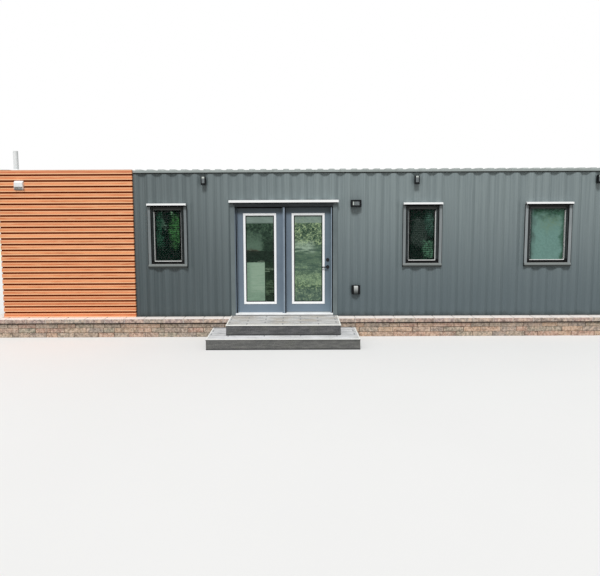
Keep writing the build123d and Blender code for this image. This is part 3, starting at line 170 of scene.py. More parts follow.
class Finish(Graph):
    """A procedural material laid out on Object coordinates, with its colour so far.

    A colour is a wire, or its red, green and blue as paint() takes them.
    """

    def __init__(self, name):
        self.colour = None
        self.material = bpy.data.materials.new(name)
        self.material.use_nodes = True
        super().__init__(self.material.node_tree)
        self.place = self.node("ShaderNodeTexCoord", output="Object")
        self.x, self.y, self.z = self.axes(self.place)

    def noise(self, scale, detail=3.0, rough=0.5, stretch=(1, 1, 1)):
        """Noise about 0.5. A stretch below 1 draws it out along that axis."""
        place = self.node("ShaderNodeMapping", inputs={"Vector": self.place, "Scale": stretch})
        return self.node("ShaderNodeTexNoise", inputs={
            "Vector": place, "Scale": scale, "Detail": detail, "Roughness": rough})

    def band(self, value, low, high):
        """0 at low, 1 at high and past it, whichever of them is the larger number."""
        return self.node("ShaderNodeMapRange", {"interpolation_type": "SMOOTHSTEP"}, {
            "Value": value, "From Min": low, "From Max": high, "To Min": 0.0, "To Max": 1.0})

    def blend(self, factor, first, second):
        """The first colour at 0, the second at 1."""
        inputs = {"Factor": factor, "A": first, "B": second}
        for end in "AB":
            if isinstance(inputs[end], tuple):
                inputs[end] = paint(*inputs[end])
        return self.node("ShaderNodeMix", {"data_type": "RGBA"}, inputs)

    def lay(self, factor, colour):
        """Lays a colour over the one so far: not seen at 0, solid at 1."""
        self.colour = self.blend(factor, self.colour, colour)

    def tone(self, stops):
        """The colour that a block or board takes from its own random number."""
        number = self.node("ShaderNodeAttribute", {"attribute_name": "tone"}, output="Fac")
        ramp = [(place, paint(*colour)) for place, colour in stops]
        return self.node("ShaderNodeValToRGB", {"stops": ramp}, {"Fac": number})

    def bump(self, height, distance, strength=1.0):
        return self.node("ShaderNodeBump", inputs={
            "Height": height, "Distance": distance, "Strength": strength})

    def surface(self, roughness, normal=None, **others):
        inputs = {"Base Color": self.colour, "Roughness": roughness}
        inputs.update({name.replace("_", " "): value for name, value in others.items()})
        if normal is not None:
            inputs["Normal"] = normal
        body = self.node("ShaderNodeBsdfPrincipled", inputs=inputs)
        self.node("ShaderNodeOutputMaterial", inputs={"Surface": body})
        return self.material


def container_steel(name, coat, shade, pale, foot, bay_shade):
    """Paint on corrugated steel: fine runs, chalky patches, splashed dirt at the foot, and painted shade that
    darkens it towards the foot and to the left.
    """
    f = Finish(name)
    runs = f.noise(30, 3, 0.55, (1, 1, 0.012))
    fine = f.noise(95, 2, 0.5, (1, 1, 0.02))
    patches = f.noise(1.2, 5, 0.6, (1, 1, 0.6))
    grime = f.noise(9, 5, 0.7, (1, 1, 0.5))
    f.colour = f.blend(f.band(runs, 0.42, 0.62) * 0.65, coat, shade)
    f.lay(f.band(patches, 0.50, 0.72) * 0.25, pale)
    f.lay(f.band(fine, 0.50, 0.66) * 0.45, shade)
    # Painted shade: darker towards the foot, and in the bays to the left of the door
    f.lay(f.band(f.z, *WALL_SHADE_FALL) * 0.95, foot)
    f.lay(f.band(f.x, *LEFT_BAY_SHADE) * 0.42, bay_shade)
    # Painted shade, deepest in the bay at the far left and low on the wall beside the door
    left = f.band(f.x, *SHADED_BAY)
    lower = f.band(f.z, *LOWER_WALL)
    shaded = left * (0.33 + lower * 0.15) + (1 - left) * lower * f.band(f.x, *BESIDE_DOOR) * 0.25
    f.lay(shaded * (0.8 + f.band(runs, 0.38, 0.62) * 0.4), (44, 54, 56))
    f.lay(f.band(f.z - grime * 0.16, *SPLASH) * 0.5, (62, 66, 62))
    normal = f.bump(f.noise(38, 4, 0.6) * 0.4 + runs * 0.6, 0.0012, 0.6)
    return f.surface(0.46 + f.band(patches, 0.4, 0.7) * 0.18, normal)


def chalked(f, coat, shade, stain):
    """Chalked paint in soft patches with runs of dirt. Gives back the patches, which its gloss follows."""
    runs = f.noise(11, 4, 0.65, (1, 1, 0.25))
    patches = f.noise(2.2, 5, 0.6)
    f.colour = f.blend(f.band(patches, 0.35, 0.7), coat, shade)
    f.lay(f.band(runs, 0.55, 0.72) * 0.4, stain)
    return patches


def rail_steel(name, coat, shade, stain, dim=0.0):
    """The paler chalked paint of rails and posts, with painted shade dimming it to the left."""
    f = Finish(name)
    patches = chalked(f, coat, shade, stain)
    # Painted shade towards the left, as on the wall
    if dim:
        f.lay(f.band(f.x, *DIM_BAYS) * dim, (70, 80, 83))
    return f.surface(0.5 + patches * 0.15, f.bump(f.noise(45, 3, 0.6), 0.001, 0.5))


def surround_steel(name, ledge, ledge_shadow):
    """Surround paint: painted shade on the surrounds to the left, greyer on the ledge below the window, and a
    black-green painted shadow along the foot of the ledge.
    """
    f = Finish(name)
    patches = chalked(f, (144, 150, 152), (132, 139, 141), (108, 115, 116))
    # Painted shade on the surrounds to the left
    f.lay(f.band(f.x, *DIM_SURROUNDS) * 0.42, (66, 78, 78))
    f.lay((f.z < ledge) * 0.8, (130, 136, 134))
    # Painted shadow along the foot of the ledge
    f.lay(f.z < ledge_shadow, (24, 31, 29))
    return f.surface(0.5 + patches * 0.15, f.bump(f.noise(45, 3, 0.6), 0.001, 0.5))


def roof_steel(name, edge):
    """Chalked roof sheet with old puddle marks, its turned edges painted pale as a highlight."""
    f = Finish(name)
    patches = f.noise(1.6, 5, 0.6)
    rings = f.noise(5, 5, 0.7)
    f.colour = f.blend(f.band(patches, 0.35, 0.7), (150, 158, 156), (134, 142, 140))
    f.lay(f.band(rings, 0.52, 0.66) * 0.35, (112, 116, 110))
    # Painted highlight along the turned edges
    painted_highlight = f.band(f.math("ABSOLUTE", f.y), edge, edge + 0.006)
    f.lay(painted_highlight, (250, 253, 247))
    return f.surface(0.55 + patches * 0.15, f.bump(f.noise(45, 3, 0.6), 0.001, 0.5))


def head_steel(name, left, right):
    """Paint over the door: post grey, and near black between the two edges as painted shadow under the
    flashing.
    """
    f = Finish(name)
    runs = f.noise(11, 4, 0.65, (0.25, 1, 1))
    dark = f.blend(f.band(runs, 0.4, 0.65), (66, 72, 75), (52, 57, 60))
    post = f.blend(f.band(runs, 0.4, 0.65), (112, 121, 122), (98, 107, 108))
    # Painted shadow of the flashing between left and right
    f.colour = f.blend((f.x > left) * (f.x < right), post, dark)
    return f.surface(0.55, f.bump(runs, 0.001, 0.5), Specular_IOR_Level=0.3)


def cedar_boards(name, first_board, pitch, height):
    """Oiled boards: each its own tone, long grain, small knots, painted shade at their very edges beside a
    painted highlight line.

    The lowest boards and the top one are redder.
    """
    f = Finish(name)
    f.colour = f.tone([
        (0.0, (230, 140, 92)), (0.25, (240, 150, 100)), (0.5, (248, 162, 108)),
        (0.75, (232, 140, 94)), (1.0, (252, 168, 116))])
    grain = f.noise(34, 5, 0.62, (0.045, 1, 1))
    fine = f.noise(150, 3, 0.6, (0.03, 1, 1))
    patches = f.noise(2.4, 3, 0.5, (0.5, 1, 1))
    f.lay(f.band(grain, 0.45, 0.64) * 0.75, (196, 106, 62))
    f.lay(f.band(fine, 0.5, 0.66) * 0.6, (255, 198, 150))
    f.lay(f.band(patches, 0.5, 0.72) * 0.3, (244, 170, 112))
    knot_place = f.node("ShaderNodeMapping", inputs={"Vector": f.place, "Scale": (0.55, 1, 1.2)})
    knots = f.node("ShaderNodeTexVoronoi", inputs={"Vector": knot_place, "Scale": 3.4})
    chosen = f.node("ShaderNodeSeparateColor", inputs={"Color": knots.out("Color")}, output="Red") > 0.62
    knot = f.band(knots, 0.075, 0.03) * chosen
    f.lay(knot * 0.8, (112, 56, 36))
    f.lay(f.band(f.z, *LOWEST_BOARDS) * 0.45, (190, 98, 60))
    f.lay(f.band(f.z, *TOP_BOARD) * 0.45, (206, 116, 84))
    # Painted highlight: a pale line near each board's edges; painted shade: a dark band at the edges
    # themselves
    rise = f.math("FRACT", (f.z - first_board) / pitch) * pitch
    line = f.band(rise, 0.028, 0.014) * 0.95 + f.band(rise, height - 0.026, height - 0.012) * 0.8
    f.lay(line, (255, 206, 160))
    edge = f.math("MAXIMUM", f.band(rise, 0.009, 0.004), f.band(rise, height - 0.009, height - 0.004))
    f.lay(edge, (180, 90, 42))
    normal = f.bump(grain * 0.6 + fine * 0.4, 0.0012, 0.7)
    return f.surface(0.6 + grain * 0.2, normal, Specular_IOR_Level=0.3)


def dark_backing(name):
    """The stained battens and membrane seen between the boards."""
    f = Finish(name)
    f.colour = f.blend(f.noise(24, 3, 0.5, (0.1, 1, 1)), (136, 54, 12), (106, 38, 8))
    return f.surface(0.95, f.bump(f.noise(60), 0.001), Specular_IOR_Level=0.0)


def faced_block(name, stops, shaded=None, highlit_top=None, wall=None):
    """Split-faced concrete block: its own tone, mottled aggregate and pits.

    Below the height shaded it is painted as lying in the shade of the cap. Its top, at the height given next,
    is painted paler as a highlight, and it is darker along the container, whose ends and sides lie at plus
    and minus wall.
    """
    f = Finish(name)
    f.colour = f.tone(stops)
    mottle = f.noise(24, 5, 0.72)
    grit = f.noise(120, 3, 0.6)
    pits = f.noise(48, 4, 0.7)
    stains = f.noise(11, 4, 0.65)
    f.lay(f.band(stains, 0.50, 0.60) * 0.5, (236, 204, 178))
    f.lay(f.band(stains, 0.47, 0.38) * 0.5, (112, 104, 92))
    f.lay(f.band(mottle, 0.48, 0.62) * 0.75, (228, 208, 188))
    f.lay(f.band(mottle, 0.48, 0.36) * 0.7, (104, 90, 78))
    f.lay(f.band(grit, 0.56, 0.66) * 0.6, (240, 230, 220))
    f.lay(f.band(pits, 0.57, 0.64) * 0.85, (62, 48, 38))
    if shaded is not None:
        f.lay(f.band(f.z, shaded - 0.105, shaded) * 0.5, (78, 64, 54))
        f.lay(f.z > shaded - 0.012, (26, 18, 14))
    if highlit_top is not None:
        # Painted highlight along the top of the cap
        painted_highlight = f.band(f.z, highlit_top - 0.010, highlit_top - 0.003)
        f.lay(painted_highlight * 0.9, (246, 239, 234))
        inner = [f.band(f.math("ABSOLUTE", axis), face + 0.066, face + 0.026)
                 for axis, face in zip((f.y, f.x), (wall.y, wall.x))]
        f.lay(inner[0] * inner[1] * 0.8, (92, 90, 84))
    normal = f.bump(mottle * 0.5 + pits * 0.3 + grit * 0.2, 0.007, 0.9)
    return f.surface(0.85, normal)


def lime_mortar(name, pale, dark, bed_top=None):
    """Gritty mortar, darker in patches; under the cap the shadowed bed joint is darker still."""
    f = Finish(name)
    grit = f.noise(120, 4, 0.7)
    f.colour = f.blend(f.band(grit, 0.35, 0.65), dark, pale)
    f.lay(f.band(f.noise(7, 3, 0.6), 0.45, 0.62) * 0.6, dark)
    if bed_top is not None:
        f.lay(f.z < bed_top, (26, 18, 14))
    return f.surface(0.95, f.bump(grit, 0.002), Specular_IOR_Level=0.2)


def stamped_tread(name, low, high, stone, stain, highlight_tone, apron, rim=0.018):
    """Tread concrete, stamped with the joints and clefts of split stone, smooth along its front, with a
    painted highlight along its front and sides and a painted shadow along its back.
    """
    f = Finish(name)
    cloud = f.noise(3.2, 5, 0.62, (0.7, 1, 1))
    cleft = f.noise(16, 5, 0.7, (0.3, 1, 1))
    grit = f.noise(60, 3, 0.6)
    smooth = f.band(f.y, low.y + apron * 1.15, low.y + apron)
    f.colour = f.blend(f.band(cloud, 0.38, 0.66), stone, stain)
    f.lay(f.band(cleft, 0.50, 0.64) * (0.75 - smooth * 0.5), (158, 160, 164))
    f.lay(f.band(grit, 0.54, 0.66) * 0.5, (240, 240, 238))
    course = f.node("ShaderNodeTexBrick", {"offset": 0.5}, {
        "Vector": f.place, "Scale": 1.0, "Mortar Size": 0.016, "Mortar Smooth": 0.6,
        "Brick Width": 0.62, "Row Height": 0.125}, output="Fac")
    f.lay(course * (1 - smooth) * 0.7, (124, 126, 130))
    # Painted highlight along the front and side edges
    sides = f.math(
        "MAXIMUM", f.band(f.x, low.x + rim * 1.4, low.x + rim), f.band(f.x, high.x - rim * 1.4, high.x - rim))
    edge = f.math("MAXIMUM", f.band(f.y, low.y + 0.060, low.y + 0.040), sides)
    f.lay(edge * 0.85, highlight_tone)
    # Painted shadow along the back, under the threshold
    f.lay(f.band(f.y, high.y - 0.055, high.y - 0.020) * 0.7, (84, 84, 84))
    normal = f.bump(cleft * 0.5 + (1 - course) * 0.5, 0.006, 0.7)
    return f.surface(0.72, normal)


def stamped_riser(name, body, light, foot, highlight_from):
    """Riser concrete: dark grey with a level split-stone grain and pale flecks, and painted shade along its
    foot.

    Above the given highlight height it is painted as pale as the highlight on the rim of the tread.
    """
    f = Finish(name)
    grain = f.noise(30, 6, 0.72, (0.16, 0.16, 1))
    cloud = f.noise(4, 4, 0.6)
    grit = f.noise(150, 2, 0.5)
    f.colour = f.blend(f.band(grain, 0.4, 0.64), body, light)
    f.lay(f.band(cloud, 0.5, 0.7) * 0.4, (94, 96, 86))
    f.lay(f.band(grit, 0.60, 0.68) * 0.6, (166, 166, 164))
    # Painted shade along the foot
    f.lay(f.band(f.z, foot + 0.030, foot + 0.012) * 0.9, (40, 41, 42))
    # Painted highlight along the top edge
    f.lay(f.z > highlight_from, (246, 246, 241))
    normal = f.bump(grain * 0.8 + grit * 0.2, 0.008, 0.9)
    return f.surface(0.8, normal)


def plain_coat(name, coat, other, roughness, scale=6, depth=0.0004, metallic=0.0, sheen=0.5):
    """A smooth coat or moulding: two close tones in soft clouds and a faint orange-peel skin."""
    f = Finish(name)
    cloud = f.noise(scale, 4, 0.6)
    skin = f.noise(scale * 40, 2, 0.5)
    f.colour = f.blend(f.band(cloud, 0.35, 0.68), coat, other)
    normal = f.bump(skin, depth, 0.5)
    return f.surface(roughness + cloud * 0.08, normal, Metallic=metallic, Specular_IOR_Level=sheen)


def window_vinyl(name, side, dim, head, foot):
    """Bronze vinyl: grey at the sides, near black at the foot, with painted shade that dims it in the left
    window and turns it brown at the head.
    """
    f = Finish(name)
    cloud = f.noise(9, 4, 0.6)
    f.colour = f.blend(f.band(cloud, 0.35, 0.68) * 0.4, side, dim)
    # Painted shade in the left window
    f.lay((f.x < 0.0) * 0.8, dim)
    # Painted shade at the head, under the flashing
    f.lay(f.band(f.z, FRAME_HIGH.z - 0.085, FRAME_HIGH.z - 0.070), head)
    f.lay(f.band(f.z, FRAME_LOW.z + 0.080, FRAME_LOW.z + 0.070), foot)
    return f.surface(0.4, f.bump(f.noise(200, 2), 0.0004, 0.5), Specular_IOR_Level=0.25)


def bead_vinyl(name, head):
    """White vinyl, in the shade along its head."""
    f = Finish(name)
    cloud = f.noise(6, 3, 0.5)
    f.colour = f.blend(f.band(cloud, 0.35, 0.68), (254, 255, 254), (248, 252, 248))
    f.lay(f.band(f.z, head - 0.01, head), (34, 36, 36))
    return f.surface(0.4, f.bump(f.noise(90, 2), 0.0003))


def reflected_glass(name, panes):
    """Clear glass over dark slats, with the soft greens that each pane gives back, clearest at its edges.

    Each pane: its window's centre and width, then its patches as tint, edges in x from the centre, edges
    in z, how broken and how solid. An edge is a pair: 0 at the first, 1 at the second.
    """
    f = Finish(name)
    speckle = f.noise(30, 4, 0.62)
    sway = (f.noise(7, 3, 0.6) - 0.5) * 0.26
    height = f.z + (f.noise(9, 3, 0.6) - 0.5) * 0.4
    rows = f.band(f.math("FRACT", (f.z - SLAT_FOOT) / SLAT_PITCH), 0.25, 0.6)
    rows = f.math("MAXIMUM", rows, f.x > PALE_BLIND_FROM)
    f.colour = f.blend(rows * (0.5 + speckle * 0.5), (2, 11, 8), (22, 45, 36))
    solid = 0.55
    edge = 0.0
    gap_shade = 0.0
    for (centre, width), patches in panes:
        half = width / 2 - PANE_TRIM
        across = f.x - centre
        side = f.math("ABSOLUTE", across)
        across = across + sway
        within = side < half + 0.02
        edge = edge + f.band(side, half - 0.021, half - 0.016) * within
        # A painted shade: a dark band just inside each pane's edge, for the shaded space between the bead and
        # the slats
        gap_shade = gap_shade + f.band(side, half - 0.040, half - 0.032) * within
        for tint, left, right, bottom, top, broken, cover in patches:
            patch = f.band(across, *left) * f.band(across, *right)
            patch = patch * f.band(height, *bottom) * f.band(height, *top)
            patch = patch * (f.band(speckle, 0.42, 0.60) * broken + (1 - broken)) * (0.55 + rows * 0.45)
            f.lay(patch, tint)
            solid = solid + patch * cover
    gap_shade = gap_shade * (1 - (f.x > PALE_BLIND_FROM) * 0.7)
    f.lay(gap_shade, (4, 12, 9))
    solid = f.math("MAXIMUM", solid, gap_shade * 0.9)
    low = f.band(f.z, PANE_FOOT + 0.016, PANE_FOOT + 0.011)
    clear = 1 - f.math("MAXIMUM", edge, low) * 0.95
    return f.surface(0.06, Alpha=f.math("MINIMUM", solid, 0.95) * clear, Specular_IOR_Level=0.1)


def lite_glass(name, top, tones, upper, lower, blocks):
    """A door lite: painted reflections in mottled green, freckled above, streaked and greyer lower down; pale
    along the top.

    Tones are dark, mid and bright. Upper and lower tell where the streaks begin and where they end. Each
    block is a tint, its edges in x and in z as pairs, how strong it is and how broken.
    """
    f = Finish(name)
    dark, mid, bright = tones
    speckle = f.noise(24, 6, 0.72)
    clumps = f.noise(6.5, 3, 0.6)
    flecks = f.noise(54, 4, 0.7)
    level = f.noise(34, 4, 0.6, (0.14, 1, 1))
    streaked = f.band(f.z, upper[0], upper[1]) * f.band(f.z, lower[0], lower[1])
    mottle = speckle * (1 - streaked * 0.75) + level * (streaked * 0.75) + (clumps - 0.5) * 0.35
    f.colour = f.blend(f.band(mottle, 0.41, 0.57), dark, mid)
    lit = f.band(flecks * 0.6 + mottle * 0.4, 0.50, 0.60)
    f.lay(lit * (0.8 - streaked * 0.45), bright)
    f.lay(streaked * 0.28, (104, 128, 118))
    for tint, left, right, bottom, head, strength, broken in blocks:
        height = f.z + (level - 0.5) * (0.5 * broken)
        patch = f.band(f.x, *left) * f.band(f.x, *right) * f.band(height, *bottom) * f.band(height, *head)
        patch = patch * (1 - broken + f.band(speckle * 0.4 + level * 0.6, 0.42, 0.58) * broken)
        shade = f.blend(f.band(speckle * 0.5 + level * 0.5, 0.42, 0.6) * 0.25, tint, mid)
        f.lay(patch * strength, shade)
    band = f.band(f.z, top - 0.155, top - 0.125) * (0.4 + level * 0.8)
    f.lay(band, (132, 150, 142))
    return f.surface(0.06, Alpha=0.96, Specular_IOR_Level=0.12)


def door_coat(name):
    """Door paint: slate blue, greener at the right stile, paler at the foot, and dark at the top rails as
    painted shadow under the door head.
    """
    f = Finish(name)
    cloud = f.noise(3, 4, 0.6)
    skin = f.noise(120, 2, 0.5)
    f.colour = f.blend(f.band(cloud, 0.35, 0.68), (106, 121, 135), (99, 113, 127))
    f.lay(f.band(f.x, *DARK_STILE) * 0.6, (84, 104, 112))
    f.lay(f.band(f.z, *PALE_RAILS) * 0.5, (118, 136, 150))
    # Painted shadow of the head on the top rails
    f.lay(f.band(f.z, *SHADED_TOP_RAILS) * 0.95, (52, 66, 72))
    return f.surface(0.4, f.bump(skin, 0.0005, 0.5))


def socket_coat(name, low, high, base_face):
    """Black base with a domed lid that stands out beyond the base's face, painted pale at its top as a
    highlight and dark towards its foot as shade.
    """
    f = Finish(name)
    scuff = f.noise(40, 4, 0.6)
    base = f.blend(scuff, (8, 10, 12), (18, 21, 23))
    # Painted highlight at the lid's top, painted shade towards its foot
    lid = f.blend(f.band(f.z, high.z - 0.004, low.z + 0.02), (196, 200, 198), (64, 68, 68))
    across = f.math("ABSOLUTE", f.x - (low.x + high.x) / 2)
    facing = f.band(across, 0.040, 0.033) * (f.y < base_face) * f.band(f.z, low.z + 0.004, low.z + 0.016)
    f.colour = f.blend(facing, base, lid)
    return f.surface(0.45 + scuff * 0.1, f.bump(scuff, 0.0004), Specular_IOR_Level=0.15)


def hood_coat(name, mouth):
    """White moulding, with brown-grey stain and painted shade at its mouth and lower edge."""
    f = Finish(name)
    cloud = f.noise(12, 4, 0.6)
    f.colour = f.blend(f.band(cloud, 0.35, 0.68), (244, 245, 245), (232, 234, 234))
    # Brown-grey stain and painted shade at the mouth
    stain = f.band(f.z + f.noise(30, 3, 0.6) * 0.02, mouth + 0.045, mouth + 0.02) * 0.75
    f.lay(stain, (132, 118, 106))
    return f.surface(0.4, f.bump(f.noise(200, 2), 0.0003))


def blind_fabric(name, dark, pale, pale_from):
    """Slats, dark in the two left windows and pale in the right one."""
    f = Finish(name)
    weave = f.noise(8, 3, 0.5, (0.2, 1, 3))
    f.colour = f.blend(weave, *dark)
    f.lay(f.x > pale_from, f.blend(weave, *pale))
    return f.surface(0.6, f.bump(f.noise(200, 2), 0.0003), Specular_IOR_Level=0.12)


def wall_lining(name):
    """Off-white board, its tone in soft clouds."""
    f = Finish(name)
    f.colour = f.blend(f.noise(3, 4, 0.6), (222, 220, 214), (206, 204, 197))
    return f.surface(0.7, f.bump(f.noise(180, 2), 0.0004))


def plank_floor(name):
    """Floor boards running along the room, each row its own tone."""
    f = Finish(name)
    plank = f.node("ShaderNodeTexBrick", {"offset": 0.37}, {
        "Vector": f.place, "Scale": 1.0, "Mortar Size": 0.0015, "Brick Width": 1.2, "Row Height": 0.18,
        "Color1": paint(150, 116, 84), "Color2": paint(126, 94, 66), "Mortar": paint(52, 38, 28)})
    grain = f.noise(30, 4, 0.6, (0.08, 1, 1))
    f.colour = f.blend(f.band(grain, 0.4, 0.7) * 0.4, plank, (104, 76, 52))
    return f.surface(0.45, f.bump(grain, 0.0006))


# Pieces

def piece(name, mesh, body="cabin", replaces=()):
    """A visible piece: it rides on its body, and stands for the nodes that it replaces."""
    mesh.name = name
    made = bpy.data.objects.new(name, mesh)
    bpy.context.scene.collection.objects.link(made)
    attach(made, body)
    if replaces:
        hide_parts(*replaces)


class Maker(Graph):
    """A geometry node tree with named inputs. build() runs it once and gives back the plain mesh."""

    def __init__(self, name):
        super().__init__(bpy.data.node_groups.new(name, "GeometryNodeTree"))
        self.keys = {}
        self.tree.interface.new_socket("Geometry", in_out="OUTPUT", socket_type="NodeSocketGeometry")
        self.entry = self.tree.nodes.new("NodeGroupInput")

    def takes(self, kind, *names):
        """Inputs of one kind. What build() doesn't give is 0."""
        for name in names:
            socket = self.tree.interface.new_socket(name, in_out="INPUT", socket_type="NodeSocket" + kind)
            self.keys[name] = socket.identifier
        return [Wire(self, self.entry.outputs[name]) for name in names]

    def geo(self, kind, settings=None, **inputs):
        """A geometry node by the rest of its name. In its inputs' names an underscore stands for a space."""
        return self.node("GeometryNode" + kind, settings, {
            name.replace("_", " "): value for name, value in inputs.items()})

    def join(self, first, second):
        """Two geometries as one."""
        both = self.geo("JoinGeometry", Geometry=first)
        self.tree.links.new(second.socket, both.socket.node.inputs[0])
        return both

    def give(self, geometry, *coats):
        """Ends the tree: instances made real, then the coats, each as inputs of a Set Material node."""
        real = self.geo("RealizeInstances", Geometry=geometry)
        for coat in coats:
            real = self.geo("SetMaterial", Geometry=real, **coat)
        self.node("NodeGroupOutput", inputs={"Geometry": real})

    def build(self, bevel=0.0, **values):
        name = self.tree.name
        made = bpy.data.objects.new(name, bpy.data.meshes.new(name))
        bpy.context.scene.collection.objects.link(made)
        modifier = made.modifiers.new(name, "NODES")
        modifier.node_group = self.tree
        for key, value in values.items():
            modifier[self.keys[key.replace("_", " ")]] = value
        if bevel:
            edge = made.modifiers.new("Arris", "BEVEL")
            edge.width = bevel
            edge.segments = 2
            edge.limit_method = "ANGLE"
        settled = bpy.context.evaluated_depsgraph_get()
        mesh = bpy.data.meshes.new_from_object(
            made.evaluated_get(settled), preserve_all_data_layers=True, depsgraph=settled)
        bpy.data.objects.remove(made)
        return mesh


def joined(meshes):
    """Several meshes as one, with their materials and tones kept."""
    parts = []
    for mesh in meshes:
        part = bpy.data.objects.new("Part", mesh)
        bpy.context.scene.collection.objects.link(part)
        parts.append(part)
    with bpy.context.temp_override(
            active_object=parts[0], selected_editable_objects=parts, object=parts[0]):
        bpy.ops.object.join()
    whole = parts[0].data
    bpy.data.objects.remove(parts[0])
    return whole


def course_maker():
    """Blocks or boards in courses on a bed. They run along +X from the start, facing -Y, then are turned."""
    m = Maker("Laid courses")
    run, length, pitch, joint, bed_joint, depth = m.takes(
        "Float", "Run", "Length", "Pitch", "Joint", "Bed Joint", "Depth")
    recess, shift, first, lift, spread, proud, bed_front = m.takes(
        "Float", "Recess", "Shift", "First", "Lift", "Spread", "Proud", "Bed Front")
    courses, seed = m.takes("Int", "Courses", "Seed")
    start, turn = m.takes("Vector", "Start", "Turn")
    block, bed = m.takes("Material", "Block", "Bed")

    per_course = m.math("CEIL", run / length) + 2
    index = m.geo("InputIndex")
    course = m.math("FLOOR", index / per_course)
    rank = index - course * per_course
    offset = m.math("FRACT", course * shift) * length + first

    def drawn(number, stream):
        return m.node("FunctionNodeRandomValue", {"data_type": "FLOAT"}, {
            "Min": 0.0, "Max": 1.0, "ID": number, "Seed": seed + stream})

    def joint_place(step):
        key = course * 1000 + rank + step
        free = (rank + step) * length - offset + (drawn(key, 0) - 0.5) * spread
        return m.math("MINIMUM", m.math("MAXIMUM", free, 0.0), run)

    low = joint_place(0)
    high = joint_place(1)
    gap_low = (low > 0.0001) * joint * 0.5
    gap_high = (high < run - 0.0001) * joint * 0.5
    size = high - low - gap_low - gap_high
    centre = (low + gap_low + high - gap_high) * 0.5
    back = drawn(index, 7) * proud
    height = pitch - bed_joint - lift
    place = m.vector(centre, depth * 0.5 + back, course * pitch + lift + height * 0.5)
    points = m.geo("Points", Count=courses * per_course, Position=place)
    marked = m.geo(
        "StoreNamedAttribute", {"data_type": "FLOAT", "domain": "POINT"},
        Geometry=points, Name="tone", Value=drawn(index, 3))
    sized = m.geo(
        "StoreNamedAttribute", {"data_type": "FLOAT_VECTOR", "domain": "POINT"},
        Geometry=marked, Name="size", Value=m.vector(size, depth - back * 2, height))
    kept = m.geo("DeleteGeometry", Geometry=sized, Selection=size < 0.05)
    cube = m.geo("MeshCube", Size=(1.0, 1.0, 1.0))
    told = m.geo("InputNamedAttribute", {"data_type": "FLOAT_VECTOR"}, Name="size")
    blocks = m.geo("InstanceOnPoints", Points=kept, Instance=cube, Scale=told)
    coloured = m.geo("SetMaterial", Geometry=blocks, Material=block)
    bed_height = courses * pitch - bed_joint - recess
    bed_size = m.vector(run - recess * 2, depth - bed_front - recess, bed_height)
    bed_place = m.vector(run * 0.5, (depth + bed_front - recess) * 0.5, bed_height * 0.5)
    bed_moved = m.geo("Transform", Geometry=m.geo("MeshCube", Size=bed_size), Translation=bed_place)
    bed_coloured = m.geo("SetMaterial", Geometry=bed_moved, Material=bed)
    m.give(m.geo("Transform", Geometry=m.join(coloured, bed_coloured), Translation=start, Rotation=turn))
    return m


def step_maker():
    """A cast step: a tread slab over a riser set back from it, and as rough as split stone."""
    m = Maker("Cast step")
    low, high = m.takes("Vector", "Low", "High")
    nosing, setback, rough, cell = m.takes("Float", "Nosing", "Setback", "Rough", "Cell")
    tread, riser = m.takes("Material", "Tread", "Riser")

    low_x, low_y, low_z = m.axes(low)
    high_x, high_y, high_z = m.axes(high)

    def slab(bottom, top, inset):
        sides = [high_x - low_x - inset * 2, high_y - low_y - inset * 2, top - bottom]
        counts = [m.math("ROUND", side / cell) + 2 for side in sides]
        place = m.vector((low_x + high_x) * 0.5, (low_y + high_y) * 0.5, (bottom + top) * 0.5)
        cube = m.geo(
            "MeshCube", Size=m.vector(*sides), Vertices_X=counts[0], Vertices_Y=counts[1],
            Vertices_Z=counts[2])
        return m.geo("Transform", Geometry=cube, Translation=place)

    break_height = high_z - nosing
    lower = slab(low_z, break_height, setback)
    upper = slab(break_height - 0.002, high_z, 0.0)
    where = m.geo("InputPosition")
    z = m.axes(where)[2]
    wander = m.node("ShaderNodeTexNoise", inputs={
        "Vector": where, "Scale": 11.0, "Detail": 4.0, "Roughness": 0.65}, output="Fac")
    normal = m.geo("InputNormal")
    is_riser = z < break_height - 0.003
    amount = (wander - 1.0) * rough * (0.35 + is_riser * 0.65)
    push = m.node("ShaderNodeVectorMath", {"operation": "SCALE"}, {"Vector": normal, "Scale": amount})
    above_foot = z > low_z + 0.004
    shaped = m.geo("SetPosition", Geometry=m.join(lower, upper), Offset=push, Selection=above_foot)
    flat = m.geo("SetShadeSmooth", Geometry=shaped, Shade_Smooth=False)
    up = m.axes(normal)[2]
    m.give(flat, {"Material": riser}, {"Material": tread, "Selection": (up > 0.6) * (z > break_height)})
    return m


def rack_maker():
    """Slats or ribs in a row: a curved blade that runs along X, repeated up Z, each tipped about X."""
    m = Maker("Slat rack")
    length, chord, thick, pitch, tip, camber = m.takes(
        "Float", "Length", "Chord", "Thick", "Pitch", "Tip", "Camber")
    centre = m.takes("Vector", "Centre")[0]
    count = m.takes("Int", "Count")[0]
    finish = m.takes("Material", "Finish")[0]

    blade = m.geo("MeshCube", Size=m.vector(length, chord, thick), Vertices_X=2, Vertices_Y=5, Vertices_Z=2)
    across = m.axes(m.geo("InputPosition"))[1] / (chord * 0.5)
    crown = m.vector(z=camber * (1 - across * across))
    curved = m.geo("SetPosition", Geometry=blade, Offset=crown)
    tipped = m.geo("Transform", Geometry=curved, Rotation=m.vector(x=tip))
    rise = m.vector(z=(m.geo("InputIndex") - (count - 1) * 0.5) * pitch)
    row = m.geo("Points", Count=count, Position=rise)
    slats = m.geo("InstanceOnPoints", Points=row, Instance=tipped)
    m.give(m.geo("Transform", Geometry=slats, Translation=centre), {"Material": finish})
    return m


